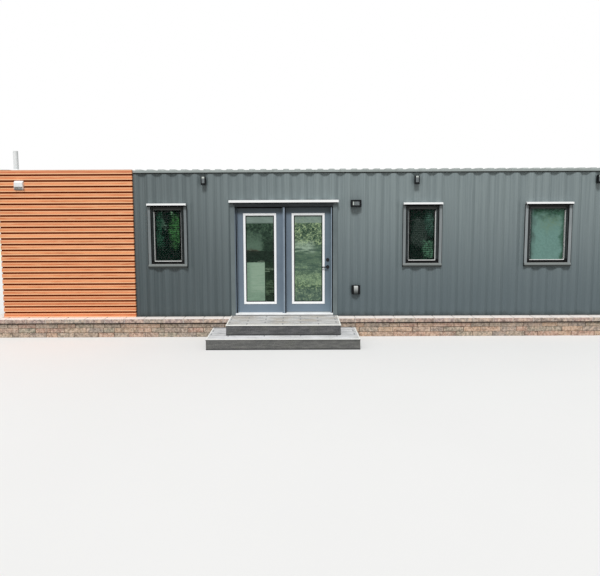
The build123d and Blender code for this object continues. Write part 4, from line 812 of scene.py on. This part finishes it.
def box_mesh(finish, boxes, arris=0.0):
    """Boxes as one mesh, each given by its low and high corner, with their edges eased."""
    shape = bmesh.new()
    for low, high in boxes:
        size = Vector(high) - Vector(low)
        middle = (Vector(low) + Vector(high)) / 2
        placed = Matrix.Translation(middle) @ Matrix.Diagonal((*size, 1.0))
        bmesh.ops.create_cube(shape, size=1.0, matrix=placed)
    if arris:
        bmesh.ops.bevel(shape, geom=shape.edges[:], offset=arris, segments=2, profile=0.5, affect="EDGES")
    return coated(shape, finish)


def frame_mesh(finish, frames, arris=0.0):
    """Flat frames as one mesh: outer low and high corner, and the width of the side, foot and head bars.

    A frame with one width has it all round.
    """
    shape = bmesh.new()
    for low, high, *bars in frames:
        side, foot, head = bars if len(bars) == 3 else bars * 3
        loops = []
        for share in (0.0, 1.0):
            left, right = low[0] + side * share, high[0] - side * share
            bottom, top = low[2] + foot * share, high[2] - head * share
            for y in (low[1], high[1]):
                loops.append([shape.verts.new((x, y, z)) for x, z in (
                    (left, bottom), (right, bottom), (right, top), (left, top))])
        outer_front, outer_back, inner_front, inner_back = loops
        for ring, facing in ((outer_front, inner_front), (inner_back, outer_back),
                             (outer_back, outer_front), (inner_front, inner_back)):
            for i in range(4):
                j = (i + 1) % 4
                shape.faces.new((ring[i], ring[j], facing[j], facing[i]))
    bmesh.ops.recalc_face_normals(shape, faces=shape.faces)
    if arris:
        sharp = [edge for edge in shape.edges if edge.calc_face_angle(0.0) > 0.5]
        bmesh.ops.bevel(shape, geom=sharp, offset=arris, segments=2, profile=0.5, affect="EDGES")
    return coated(shape, finish)


def coated(shape, finish):
    mesh = bpy.data.meshes.new("Plain")
    shape.to_mesh(mesh)
    shape.free()
    mesh.materials.append(finish)
    return mesh


# Camera at the photograph's place

IMAGE_WIDTH, IMAGE_HEIGHT = 600, 576
FOCAL_PIXELS = 565.99
AXIS_PIXEL = (296.23, 249.99)
PITCH_DOWN, ROLL, YAW = 0.0924, 0.0045, 0.0022
CAMERA_PLACE = Vector((-0.6683, -11.5689, 2.5306))
SENSOR = 36.0
FAR_CLIP = 200


def set_camera():
    turn = Matrix.Rotation(YAW, 3, "Z")
    forward = turn @ Vector((0, math.cos(PITCH_DOWN), -math.sin(PITCH_DOWN)))
    right = turn @ Vector((1, 0, 0))
    down = turn @ Vector((0, -math.sin(PITCH_DOWN), -math.cos(PITCH_DOWN)))
    across = math.cos(ROLL) * right + math.sin(ROLL) * down
    below = -math.sin(ROLL) * right + math.cos(ROLL) * down
    lens = bpy.data.cameras.new("Photograph view")
    lens.sensor_fit = "HORIZONTAL"
    lens.sensor_width = SENSOR
    lens.lens = SENSOR * FOCAL_PIXELS / IMAGE_WIDTH
    lens.shift_x = (IMAGE_WIDTH / 2 - AXIS_PIXEL[0]) / IMAGE_WIDTH
    lens.shift_y = (AXIS_PIXEL[1] - IMAGE_HEIGHT / 2) / IMAGE_WIDTH
    lens.clip_end = FAR_CLIP
    camera = bpy.data.objects.new("Photograph view", lens)
    view = Matrix((across, -below, -forward)).transposed().to_4x4()
    camera.matrix_world = Matrix.Translation(CAMERA_PLACE) @ view
    bpy.context.scene.collection.objects.link(camera)
    bpy.context.scene.camera = camera


# Studio: a white sky that lights at less than its brightness, a soft sun, and a pale floor

SKY_LIGHT = 0.46
SUN_POWER = 2.5
SUN_SPREAD = math.radians(14)
SUN_TURN = (math.radians(38), math.radians(-5), 0)
FLOOR_HALF, FLOOR_DEPTH = 60, 0.05


def set_light():
    scene = bpy.context.scene
    scene.view_settings.view_transform = "Standard"
    world = bpy.data.worlds.new("Studio")
    world.use_nodes = True
    scene.world = world
    g = Graph(world.node_tree)
    seen = g.background_ray()
    level = seen + (1 - seen) * SKY_LIGHT
    sky = g.node("ShaderNodeBackground", inputs={"Color": (1, 1, 1, 1), "Strength": level})
    g.node("ShaderNodeOutputWorld", inputs={"Surface": sky})
    lamp = bpy.data.lights.new("Key", "SUN")
    lamp.energy = SUN_POWER
    lamp.angle = SUN_SPREAD
    key = bpy.data.objects.new("Key", lamp)
    key.rotation_euler = SUN_TURN
    scene.collection.objects.link(key)


def lay_floor():
    f = Finish("studio_floor")
    pale = f.blend(f.noise(0.4, 3, 0.5), (236, 236, 235), (232, 232, 231))
    f.colour = f.blend(f.background_ray(), (150, 149, 146), pale)
    slab = ((-FLOOR_HALF, -FLOOR_HALF, -FLOOR_DEPTH), (FLOOR_HALF, FLOOR_HALF, 0.0))
    floor = bpy.data.objects.new("Studio floor", box_mesh(f.surface(0.9), [slab]))
    bpy.context.scene.collection.objects.link(floor)


set_camera()
set_light()
lay_floor()


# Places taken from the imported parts

CONTAINER_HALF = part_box("corner_castings")[1].xy
CLAD_LOW, CLAD_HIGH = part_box("cladding")
CAP_LOW, CAP_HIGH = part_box("front_cap")
UPPER_LOW, UPPER_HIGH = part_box("upper_step")
LOWER_LOW, LOWER_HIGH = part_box("lower_step")
SOCKET_LOW, SOCKET_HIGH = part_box("socket_cover")
HOOD_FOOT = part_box("vent_hood")[0].z
LITE_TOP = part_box("fixed_glass")[1].z
FRAME_LOW, FRAME_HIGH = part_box("window_frames")
SASH_LOW, SASH_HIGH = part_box("window_sashes")
GLASS_LOW, GLASS_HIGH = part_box("window_glass")
BEAD_LOW, BEAD_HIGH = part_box("window_beads")
BLIND_LOW, BLIND_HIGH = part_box("window_blinds")
SURROUND_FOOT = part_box("window_surrounds")[0].z

# Boards and beds
BOARD_COUNT = 26
BOARD_HEIGHT = 0.080
BOARD_PITCH = (CLAD_HIGH.z - CLAD_LOW.z - BOARD_HEIGHT) / (BOARD_COUNT - 1)
CAP_BED = 0.0065

# Windows from left to right, each by its centre and width, and what fills them
WINDOWS = [(-3.051, 0.610), (1.621, 0.610), (3.922, 0.750)]
PALE_BLIND_FROM = 2.8
PANE_TRIM = 0.057
PANE_FOOT = FRAME_LOW.z + 0.050
SLAT_COUNT = 26
SLAT_MARGIN = 0.025
SLAT_PITCH = (BLIND_HIGH.z - BLIND_LOW.z - 2 * SLAT_MARGIN) / SLAT_COUNT
SLAT_FOOT = BLIND_LOW.z + SLAT_MARGIN

# Edges where a finish changes
# Top of the painted shadow along the foot of the window ledges
LEDGE_SHADOW_TOP = SURROUND_FOOT + 0.032
HEAD_SHADE = (-1.842, -0.004)
# Beyond this the roof's turned edge carries a painted highlight
ROOF_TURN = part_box("roof")[1].y - 0.030
# Heights above which the risers carry the painted highlight of the tread's rim
UPPER_HIGHLIGHT, LOWER_HIGHLIGHT = UPPER_HIGH.z - 0.008, LOWER_HIGH.z - 0.002
UPPER_APRON, LOWER_APRON = 0.0, 0.20
BEAD_SHADE = GLASS_HIGH.z - 0.026
SOCKET_BASE_FACE = -1.2455


# Finishes of this cabin

# The last two colours are painted shade: towards the foot, and in the bays to the left
STEEL = container_steel(
    "steel_paint", (130, 142, 143), (113, 125, 127), (138, 150, 150), (80, 93, 98),
    (86, 97, 99))
RAIL = rail_steel("rail_paint", (158, 167, 165), (146, 155, 152), (118, 126, 120))
TRIM = rail_steel("trim_paint", (146, 150, 155), (134, 140, 144), (108, 115, 116), 0.5)
SURROUND_STEEL = surround_steel("surround_paint", FRAME_LOW.z, LEDGE_SHADOW_TOP)
POST = rail_steel("post_paint", (104, 115, 117), (94, 105, 107), (84, 92, 93))
HEAD = head_steel("head_paint", *HEAD_SHADE)
ROOF = roof_steel("roof_paint", ROOF_TURN)
BEAM = rail_steel("beam_steel", (92, 94, 92), (78, 80, 79), (96, 74, 58))
BOARDS = cedar_boards("cladding_wood", CLAD_LOW.z, BOARD_PITCH, BOARD_HEIGHT)
BACKING = dark_backing("cladding_backing")
SKIRT_BLOCK = faced_block("skirt_block", [
    (0.0, (204, 172, 142)), (0.2, (192, 150, 132)), (0.4, (152, 150, 132)),
    (0.6, (208, 168, 138)), (0.8, (150, 138, 130)), (1.0, (184, 166, 146))], shaded=CAP_LOW.z)
# The cap stones carry a painted highlight along their top
CAP_BLOCK = faced_block("cap_block", [
    (0.0, (170, 154, 154)), (0.3, (184, 150, 140)), (0.55, (162, 158, 148)),
    (0.8, (182, 160, 146)), (1.0, (164, 144, 142))], highlit_top=CAP_HIGH.z, wall=CONTAINER_HALF)
MORTAR = lime_mortar("skirt_mortar", (134, 120, 104), (70, 56, 48))
CAP_MORTAR = lime_mortar("cap_mortar", (226, 220, 212), (190, 182, 174), CAP_LOW.z + CAP_BED)
CONCRETE = lime_mortar("concrete", (166, 164, 158), (120, 118, 112))
# The last colour given to each tread is the tone of its painted highlight
UPPER_TREAD = stamped_tread(
    "upper_tread", UPPER_LOW, UPPER_HIGH, (210, 209, 206), (182, 174, 162), (250, 250, 244),
    UPPER_APRON)
LOWER_TREAD = stamped_tread(
    "lower_tread", LOWER_LOW, LOWER_HIGH, (228, 229, 232), (204, 205, 204), (246, 246, 242),
    LOWER_APRON)
UPPER_RISER = stamped_riser("upper_riser", (64, 65, 67), (94, 94, 95), LOWER_HIGH.z, UPPER_HIGHLIGHT)
LOWER_RISER = stamped_riser("lower_riser", (86, 87, 86), (112, 112, 109), 0.0, LOWER_HIGHLIGHT)
FRAME_VINYL = window_vinyl(
    "frame_vinyl", (68, 75, 76), (34, 41, 40), (64, 66, 64), (12, 12, 12))
SASH_VINYL = window_vinyl(
    "sash_vinyl", (82, 89, 90), (46, 54, 53), (68, 70, 68), (18, 18, 18))
SILL = plain_coat("sill_grey", (164, 166, 164), (150, 152, 150), 0.5, 30)
BEAD = bead_vinyl("bead_white", BEAD_SHADE)
WHITE = plain_coat("lite_white", (253, 254, 255), (249, 251, 252), 0.3)
FLASHING = plain_coat("flashing", (254, 255, 255), (250, 252, 252), 0.35)
# Black for real seals, and for strips that are painted shadow
SEAL_AND_SHADOW = plain_coat("seal_black", (5, 6, 7), (12, 13, 14), 0.7, 30, sheen=0.1)
DOOR = door_coat("door_paint")
STRIP = plain_coat("strip_paint", (140, 154, 168), (128, 142, 156), 0.4, 8)
THRESHOLD = plain_coat("threshold_white", (240, 242, 242), (228, 230, 230), 0.35)
HINGE = plain_coat("hinge_steel", (168, 170, 172), (140, 142, 145), 0.3, 20, 0.0003, 0.9)
BLACK = plain_coat("lock_black", (16, 17, 19), (10, 11, 12), 0.3, sheen=0.3)
CASE = plain_coat("case_black", (10, 13, 15), (20, 24, 26), 0.5, 12, sheen=0.15)
LENS = plain_coat("lamp_lens", (112, 119, 121), (88, 95, 97), 0.3, 30)
BRIGHT_LENS = plain_coat("bright_lens", (206, 214, 208), (184, 192, 188), 0.3, 30)
SOCKET = socket_coat("socket_coat", SOCKET_LOW, SOCKET_HIGH, SOCKET_BASE_FACE)
HOOD = hood_coat("hood_white", HOOD_FOOT)
VENT = plain_coat("vent_white", (242, 244, 244), (230, 233, 233), 0.4, 10)
BLIND = blind_fabric(
    "blind", ((34, 46, 42), (22, 32, 29)), ((140, 168, 158), (130, 156, 146)),
    PALE_BLIND_FROM)
LINING = wall_lining("wall_board")
PLANKS = plank_floor("floor_wood")

# What the three windows give back
BRIGHT_GREEN, PALE_GREEN, TEAL = (62, 114, 64), (116, 160, 124), (60, 92, 80)
WET_GREEN, DEEP_GREEN, MIST = (76, 116, 92), (56, 92, 74), (112, 148, 140)
LEFT_PANE = [
    (BRIGHT_GREEN, (0.02, 0.08), (0.34, 0.30), (1.58, 1.72), (2.26, 2.12), 0.8, 0.35),
    (PALE_GREEN, (0.06, 0.08), (0.12, 0.10), (2.19, 2.22), (2.29, 2.27), 0.1, 0.5),
    ((84, 108, 94), (-0.15, -0.10), (0.03, -0.01), (2.00, 2.04), (2.11, 2.07), 0.4, 0.4),
    ((40, 82, 62), (-0.23, -0.18), (-0.06, -0.12), (1.5, 1.8), (2.36, 2.24), 0.8, 0.3)]
MIDDLE_PANE = [
    ((52, 66, 60), (-0.2, -0.12), (0.12, 0.02), (1.58, 1.72), (2.2, 2.08), 0.2, 0.3),
    (TEAL, (0.02, 0.12), (0.24, 0.20), (1.80, 1.96), (2.36, 2.16), 0.5, 0.4),
    (WET_GREEN, (-0.02, 0.04), (0.24, 0.20), (1.38, 1.42), (1.76, 1.68), 0.7, 0.5)]
RIGHT_PANE = [
    (MIST, (-0.36, -0.28), (0.36, 0.26), (1.2, 1.3), (2.36, 2.10), 0.12, 0.5),
    ((108, 136, 116), (-0.36, 0.10), (0.36, 0.12), (1.80, 2.1), (2.30, 2.16), 0.7, 0.05),
    (DEEP_GREEN, (-0.42, -0.36), (0.42, 0.36), (2.02, 2.32), (2.6, 2.5), 0.6, 0.5),
    (DEEP_GREEN, (0.20, 0.29), (0.40, 0.35), (1.2, 1.3), (2.6, 2.5), 0.3, 0.2),
    ((80, 104, 98), (-0.42, -0.36), (-0.20, -0.31), (1.2, 1.3), (2.6, 2.5), 0.2, 0.2)]
GLASS = reflected_glass("window_glass", list(zip(WINDOWS, (LEFT_PANE, MIDDLE_PANE, RIGHT_PANE))))

# What the door lites give back: a pale block stands in the lower left part of the left one
LEFT_EDGE, RIGHT_EDGE = (-1.64, -1.62), (-1.08, -1.09)
BLOCK_SIDE, BESIDE_BLOCK = (-1.272, -1.282), (-1.282, -1.272)
BLOCK_FOOT, BLOCK_HEAD = (0.55, 0.58), (1.335, 1.325)
FIXED_GLASS = lite_glass(
    "fixed_lite_glass", LITE_TOP, ((26, 46, 35), (50, 72, 58), (86, 112, 88)),
    (0.0, 0.1), (0.2, 0.1), [
        ((100, 126, 108), (-1.66, -1.62), (-1.28, -1.38), (1.54, 1.58), (2.00, 1.62), 0.8, 0.3),
        ((24, 42, 32), (-1.31, -1.27), RIGHT_EDGE, (1.44, 1.50), (1.82, 1.70), 0.85, 0.1),
        ((84, 60, 52), (-1.62, -1.58), (-1.34, -1.38), (1.48, 1.51), (1.59, 1.55), 0.7, 0.6),
        ((18, 34, 25), LEFT_EDGE, RIGHT_EDGE, (1.32, 1.345), (1.56, 1.53), 0.95, 0.05),
        ((130, 158, 137), LEFT_EDGE, BLOCK_SIDE, BLOCK_FOOT, BLOCK_HEAD, 0.92, 0.0),
        ((168, 192, 170), (-1.60, -1.50), BLOCK_SIDE, (0.70, 0.90), BLOCK_HEAD, 0.7, 0.8),
        ((18, 36, 20), BESIDE_BLOCK, RIGHT_EDGE, BLOCK_FOOT, BLOCK_HEAD, 0.88, 0.05),
        ((126, 146, 124), BESIDE_BLOCK, (-1.08, -1.14), (1.15, 1.19), (1.25, 1.21), 0.8, 0.8),
        ((96, 120, 92), (-1.282, -1.24), (-1.08, -1.11), (0.70, 0.86), (1.02, 0.93), 0.8, 0.9)])
WHOLE_WIDTH = ((-0.8, -0.75), (-0.18, -0.2))
ACTIVE_GLASS = lite_glass(
    "active_lite_glass", LITE_TOP, ((50, 74, 58), (98, 124, 98), (184, 204, 152)),
    (1.72, 1.58), (1.02, 1.20), [
        ((176, 198, 178), (-0.8, -0.75), (-0.30, -0.42), (1.50, 1.58), (1.78, 1.66), 0.8, 0.75),
        ((68, 92, 78), *WHOLE_WIDTH, (1.24, 1.38), (1.57, 1.50), 0.6, 0.3),
        ((140, 166, 134), *WHOLE_WIDTH, (0.86, 0.96), (1.16, 1.06), 0.6, 0.6),
        ((84, 104, 98), *WHOLE_WIDTH, (0.5, 0.56), (0.92, 0.78), 0.6, 0.2)])

NODE_FINISHES = {
    STEEL: ["front_walls", "back_wall", "end_walls", "wall_over_door"],
    RAIL: ["top_side_rails", "end_rails"],
    TRIM: ["corner_castings"],
    SURROUND_STEEL: ["window_surrounds"],
    POST: ["bottom_side_rails", "corner_posts", "door_surround_posts"],
    HEAD: ["door_surround_head", "door_head"],
    ROOF: ["roof"],
    BEAM: ["floor_beams"],
    CONCRETE: ["foundation"],
    LINING: ["back_lining", "front_linings", "end_linings", "lining_over_door", "ceiling"],
    PLANKS: ["floor_deck"],
    FRAME_VINYL: ["window_frames"],
    WHITE: ["active_lite_frame", "fixed_lite_frame"],
    FLASHING: ["window_flashings", "door_flashing"],
    DOOR: ["active_leaf", "fixed_leaf", "mullion", "door_jambs"],
    THRESHOLD: ["threshold"],
    HINGE: ["leaf_hinges", "frame_hinges"],
    BLACK: ["deadbolt", "door_levers"],
    CASE: ["wall_lights", "door_lamp"],
    SOCKET: ["socket_cover"],
    HOOD: ["vent_hood"],
    VENT: ["vent_pipe"],
    FIXED_GLASS: ["fixed_glass"],
    ACTIVE_GLASS: ["active_glass"],
}
for finish, names in NODE_FINISHES.items():
    for name in names:
        for place in NODES[name].material_slots:
            place.material = finish


# Skirt blocks, cap stones and cladding boards

COURSES = course_maker()
FRONT, BACK, LEFT, RIGHT = 0.0, math.pi, -math.pi / 2, math.pi / 2
LEFT_OF_STEPS, RIGHT_OF_STEPS = -3.469, 0.378


def walls_round(nodes):
    """The lines of the wall round the base, its depth and its height.

    A line has its start, its length, its turn and the place in x of one of its joints.
    """
    front, back, ends = (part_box(node) for node in nodes)
    deep = front[1].y - front[0].y
    across = ends[1].y - ends[0].y
    runs = {
        nodes[0]: [
            ((front[0].x, front[0].y, front[0].z), UPPER_LOW.x - front[0].x, FRONT, LEFT_OF_STEPS),
            ((UPPER_HIGH.x, front[0].y, front[0].z), front[1].x - UPPER_HIGH.x, FRONT, RIGHT_OF_STEPS)],
        nodes[1]: [((back[1].x, back[1].y, back[0].z), back[1].x - back[0].x, BACK, 0.0)],
        nodes[2]: [
            ((ends[0].x, ends[1].y, ends[0].z), across, LEFT, 0.0),
            ((ends[1].x, ends[0].y, ends[0].z), across, RIGHT, 0.0)],
    }
    return runs, deep, front[1].z - front[0].z


def lay_round(nodes, name, slot, seed, arris, **sizes):
    """Courses round the base in place of the front, back and end nodes, each line with its own seed."""
    runs, deep, tall = walls_round(nodes)
    pitch = (tall + sizes["Bed_Joint"]) / sizes["Courses"]
    for node, lines in runs.items():
        meshes = []
        for start, run, turn, joint in lines:
            meshes.append(COURSES.build(
                arris, Run=run, Pitch=pitch, Depth=deep, First=(start[0] - joint) % sizes["Length"],
                Seed=seed, Start=start, Turn=(0.0, 0.0, turn), **sizes))
            seed += 11
        piece(node + "_" + name, joined(meshes), replaces=[node])


lay_round(
    ["front_skirt", "back_skirt", "end_skirts"], "blocks", "brick", seed=3, arris=0.005, Courses=3,
    Length=0.31, Joint=0.007, Bed_Joint=0.007, Shift=0.618, Spread=0.17, Proud=0.006, Bed_Front=0.012,
    Recess=0.008, Block=SKIRT_BLOCK, Bed=MORTAR)
lay_round(
    ["front_cap", "back_cap", "end_caps"], "stones", "cap_brick", seed=5, arris=0.009, Courses=1,
    Length=0.360, Joint=0.010, Bed_Joint=0.0, Lift=CAP_BED, Proud=0.002, Bed_Front=0.010, Recess=0.008,
    Block=CAP_BLOCK, Bed=CAP_MORTAR)

ONE_LENGTH = 9.0
boards = COURSES.build(
    0.002, Run=CLAD_HIGH.x - CLAD_LOW.x, Courses=BOARD_COUNT, Length=ONE_LENGTH, Pitch=BOARD_PITCH,
    Bed_Joint=BOARD_PITCH - BOARD_HEIGHT, Depth=CLAD_HIGH.y - CLAD_LOW.y, Recess=0.006, Proud=0.0015,
    Bed_Front=0.022, Seed=8, Start=tuple(CLAD_LOW), Block=BOARDS, Bed=BACKING)
piece("cladding_boards", boards, replaces=["cladding"])


# Steps

STEPS = step_maker()
for node, low, high, tread, riser in (
        ("lower_step", LOWER_LOW, LOWER_HIGH, LOWER_TREAD, LOWER_RISER),
        ("upper_step", UPPER_LOW, UPPER_HIGH, UPPER_TREAD, UPPER_RISER)):
    step = STEPS.build(
        0.004, Low=tuple(low), High=tuple(high), Nosing=0.012, Setback=0.005, Rough=0.006,
        Cell=0.03, Tread=tread, Riser=riser)
    piece(node + "_cast", step, replaces=[node])


# Sashes, panes, the blinds behind them, and the white beads on both sides of the glass

RACK = rack_maker()
SASH_TRIM = SASH_LOW.x - FRAME_LOW.x
BEAD_FACE = 0.008
OUTER_STRIP, INNER_STRIP, FOOT_STRIP = 0.0045, 0.0012, 0.010
STRIP_FRONT = SASH_LOW.y + 0.002
STRIP_FOOT = PANE_FOOT + FOOT_STRIP
SLAT_GAP = 0.030
sashes = []
panes = []
slats = []
beads = []
strips = []
for centre, width in WINDOWS:
    outer = width / 2 - SASH_TRIM
    half = width / 2 - PANE_TRIM
    left, right = centre - half, centre + half
    sashes.append((
        (centre - outer, SASH_LOW.y, SASH_LOW.z), (centre + outer, SASH_HIGH.y, SASH_HIGH.z),
        PANE_TRIM - SASH_TRIM, PANE_FOOT - SASH_LOW.z, SASH_HIGH.z - GLASS_HIGH.z))
    panes.append(((left, GLASS_LOW.y, PANE_FOOT), (right, GLASS_HIGH.y, GLASS_HIGH.z)))
    slats.append(RACK.build(
        Centre=(centre, (BLIND_LOW.y + BLIND_HIGH.y) / 2, (BLIND_LOW.z + BLIND_HIGH.z) / 2),
        Length=(half - SLAT_GAP) * 2, Chord=0.046, Thick=0.0012, Count=SLAT_COUNT,
        Pitch=SLAT_PITCH, Tip=1.2, Camber=0.003, Finish=BLIND))
    beads.append(((left, BEAD_LOW.y, PANE_FOOT), (right, BEAD_HIGH.y, GLASS_HIGH.z), BEAD_FACE))
    strips.append(((left, STRIP_FRONT, PANE_FOOT), (right, GLASS_LOW.y, STRIP_FOOT)))
    for side in (-1, 1):
        face = OUTER_STRIP if side * centre > 0 else INNER_STRIP
        edges = sorted((centre + side * half, centre + side * (half - face)))
        strips.append(((edges[0], STRIP_FRONT, STRIP_FOOT), (edges[1], GLASS_LOW.y, GLASS_HIGH.z)))
piece("window_sash_bars", frame_mesh(SASH_VINYL, sashes, 0.0015),
      replaces=["window_sashes"])
piece("window_panes", box_mesh(GLASS, panes),
      replaces=["window_glass"])
piece("window_blind_slats", joined(slats), replaces=["window_blinds"])
piece("window_bead_frames", frame_mesh(BEAD, beads),
      replaces=["window_beads"])
piece("window_bead_strips", box_mesh(BEAD, strips, 0.0008))


# Gasket rings, sill strips, and black strips that paint the shadow under the flashings and the top rail. Each
# runs a lap into the piece that carries it

LAP = 0.001


def plate(left, right, foot, head, face, proud):
    """A box that stands proud of the face at y."""
    return (left, face - proud, foot), (right, face + LAP, head)


FLASHING_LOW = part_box("window_flashings")[0]
DOOR_FLASHING_LOW, DOOR_FLASHING_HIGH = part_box("door_flashing")
SURROUND_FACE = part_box("door_surround_head")[0].y
RAIL_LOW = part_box("top_side_rails")[0]
GASKET_PROUD = 0.003
FRAME_GASKET, SASH_GASKET, SURROUND_SHADOW_LINE = 0.019, 0.008, 0.009
SURROUND_REACH = 0.058
SILL_INSET, SILL_PROUD = 0.004, 0.014
SILL_DROP, SILL_RISE = 0.006, 0.003
SHADOW_REACH, SHADOW_HEIGHT, SHADOW_SETBACK = 0.044, 0.017, 0.012
DOOR_SHADOW_INSET, DOOR_SHADOW_HEIGHT, DOOR_SHADOW_SETBACK = 0.02, 0.012, 0.018
RAIL_SHADOW_END, RAIL_SHADOW_HEIGHT = 6.0, 0.018
gaskets_and_shadow_lines = []
shadow_strips = []
sills = []
for centre, width in WINDOWS:
    half = width / 2
    # A black gasket round each frame, wide enough to also paint the shadow line between frame and surround
    gaskets_and_shadow_lines.append((*plate(
        centre - half, centre + half, FRAME_LOW.z, FRAME_HIGH.z, FRAME_LOW.y, GASKET_PROUD), FRAME_GASKET))
    outer = half - SASH_TRIM + SASH_GASKET
    gaskets_and_shadow_lines.append((*plate(
        centre - outer, centre + outer, SASH_LOW.z - SASH_GASKET, SASH_HIGH.z + SASH_GASKET, FRAME_LOW.y,
        GASKET_PROUD), SASH_GASKET))
    sills.append(plate(
        centre - half + SILL_INSET, centre + half - SILL_INSET, FRAME_LOW.z - SILL_DROP,
        FRAME_LOW.z + SILL_RISE, FRAME_LOW.y, SILL_PROUD))
    # A black ring round each surround: painted shadow where the surround meets the wall
    outer = half + SURROUND_REACH
    gaskets_and_shadow_lines.append((
        (centre - outer, SURROUND_FACE + 0.002, SURROUND_FOOT),
        (centre + outer, SURROUND_FACE + 0.012, FLASHING_LOW.z), SURROUND_SHADOW_LINE))
    # Black strips under each flashing and along its lower front edge: painted shadow of the flashing
    outer = half + SHADOW_REACH
    shadow_strips.append((
        (centre - outer, FLASHING_LOW.y + SHADOW_SETBACK, FLASHING_LOW.z - SHADOW_HEIGHT),
        (centre + outer, FRAME_LOW.y + LAP, FLASHING_LOW.z)))
    shadow_strips.append((
        (centre - outer, FLASHING_LOW.y - 0.002, FLASHING_LOW.z - 0.001),
        (centre + outer, FLASHING_LOW.y + 0.004, FLASHING_LOW.z + 0.006)))
# The same painted shadow under the door's flashing
shadow_strips.append((
    (DOOR_FLASHING_LOW.x + DOOR_SHADOW_INSET, DOOR_FLASHING_LOW.y + DOOR_SHADOW_SETBACK,
     DOOR_FLASHING_LOW.z - DOOR_SHADOW_HEIGHT),
    (DOOR_FLASHING_HIGH.x - DOOR_SHADOW_INSET, SURROUND_FACE + LAP, DOOR_FLASHING_LOW.z)))
# A black strip under the top rail: painted shadow of the rail
shadow_strips.append(plate(
    CLAD_HIGH.x + 0.004, RAIL_SHADOW_END, RAIL_LOW.z + LAP, RAIL_LOW.z + RAIL_SHADOW_HEIGHT, RAIL_LOW.y, 0.003))
piece("window_gaskets_and_shadow_lines", frame_mesh(SEAL_AND_SHADOW, gaskets_and_shadow_lines))
piece("window_sill_strips", box_mesh(SILL, sills, 0.002))
piece("flashing_shadow_strips", box_mesh(SEAL_AND_SHADOW, shadow_strips, 0.002))

LITE_GASKET, LITE_GASKET_PROUD = 0.015, 0.005
for leaf, body in (("fixed", "cabin"), ("active", "door")):
    low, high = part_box(leaf + "_glass")
    ring = (*plate(low.x, high.x, low.z, high.z, low.y, LITE_GASKET_PROUD), LITE_GASKET)
    piece(leaf + "_lite_gasket", frame_mesh(SEAL_AND_SHADOW, [ring]), body)


# Weather strips of the door frame, and black strips beside them that paint its shadow lines

FIXED_LOW, FIXED_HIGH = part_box("fixed_leaf")
ACTIVE_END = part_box("active_leaf")[1].x
MULLION_LOW, MULLION_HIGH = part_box("mullion")
FOOT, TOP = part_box("threshold")[1].z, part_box("door_head")[0].z
FACE = MULLION_LOW.y
STRIP_LEFT, STRIP_RIGHT = MULLION_LOW.x + 0.024, MULLION_LOW.x + 0.050
MULLION_STRIP_PROUD, JAMB_STRIP_PROUD, SHADOW_STRIP_PROUD, HEAD_SHADOW_PROUD = 0.008, 0.004, 0.002, 0.006
JAMB_SHADOW = 0.033
door_strips = [
    plate(STRIP_LEFT, STRIP_RIGHT, FOOT, TOP, FACE, MULLION_STRIP_PROUD),
    plate(ACTIVE_END - 0.004, ACTIVE_END + 0.012, FOOT, TOP, FACE, JAMB_STRIP_PROUD),
]
piece("door_strips", box_mesh(STRIP, door_strips, 0.002))
# Black strips beside the mullion, the jambs and the head, and along the top of the fixed leaf: painted shadow
# lines
door_shadow_strips = [
    plate(STRIP_RIGHT, MULLION_HIGH.x, FOOT, TOP, FACE, SHADOW_STRIP_PROUD),
    plate(FIXED_LOW.x - 0.018, FIXED_LOW.x + 0.003, FOOT, TOP, FACE, SHADOW_STRIP_PROUD),
    plate(FIXED_LOW.x + LAP, FIXED_HIGH.x, FIXED_HIGH.z - 0.022, TOP, FIXED_LOW.y, HEAD_SHADOW_PROUD),
    plate(ACTIVE_END + 0.014, ACTIVE_END + JAMB_SHADOW, FOOT, TOP, FACE, SHADOW_STRIP_PROUD),
    plate(FIXED_LOW.x - JAMB_SHADOW, ACTIVE_END + JAMB_SHADOW, TOP - LAP, TOP + 0.014, FACE, SHADOW_STRIP_PROUD),
]
piece("door_shadow_strips", box_mesh(SEAL_AND_SHADOW, door_shadow_strips, 0.001))


# Faces of the lights

LIGHT_LOW, LIGHT_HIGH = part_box("wall_lights")
LIGHT_HALF = 0.042
MIDDLE_LIGHT = 1.501
LAMP_LOW, LAMP_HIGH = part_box("door_lamp")
LAMP_FACE = LAMP_LOW.y + 0.014
LAMP_X = (LAMP_LOW.x + LAMP_HIGH.x) / 2
LAMP_Z = (LAMP_LOW.z + LAMP_HIGH.z) / 2
LAMP_FACE_TOP, LAMP_FACE_PROUD = LAMP_Z + 0.036, 0.008
lenses = []
plates = []
for centre in (LIGHT_LOW.x + LIGHT_HALF, MIDDLE_LIGHT, LIGHT_HIGH.x - LIGHT_HALF):
    lenses.append(plate(
        centre - 0.024, centre + 0.024, LIGHT_HIGH.z - 0.034, LIGHT_HIGH.z - 0.004, LIGHT_LOW.y, 0.006))
    lenses.append((
        (centre - 0.034, LIGHT_LOW.y + 0.008, LIGHT_HIGH.z - 0.011),
        (centre + 0.034, LIGHT_LOW.y + 0.052, LIGHT_HIGH.z - 0.002)))
    plates.append(plate(
        centre - 0.025, centre + 0.025, LIGHT_LOW.z + 0.034, LIGHT_HIGH.z - 0.037, LIGHT_LOW.y, 0.003))
plates.append(plate(
    LAMP_X - 0.036, LAMP_X + 0.059, LAMP_Z - 0.033, LAMP_FACE_TOP, LAMP_FACE, LAMP_FACE_PROUD))
lenses.append(plate(
    LAMP_X - 0.061, LAMP_X - 0.040, LAMP_Z - 0.030, LAMP_FACE_TOP, LAMP_FACE, LAMP_FACE_PROUD))
piece("light_plates", box_mesh(LENS, plates, 0.0015))
piece("light_lenses", box_mesh(BRIGHT_LENS, lenses, 0.0015))
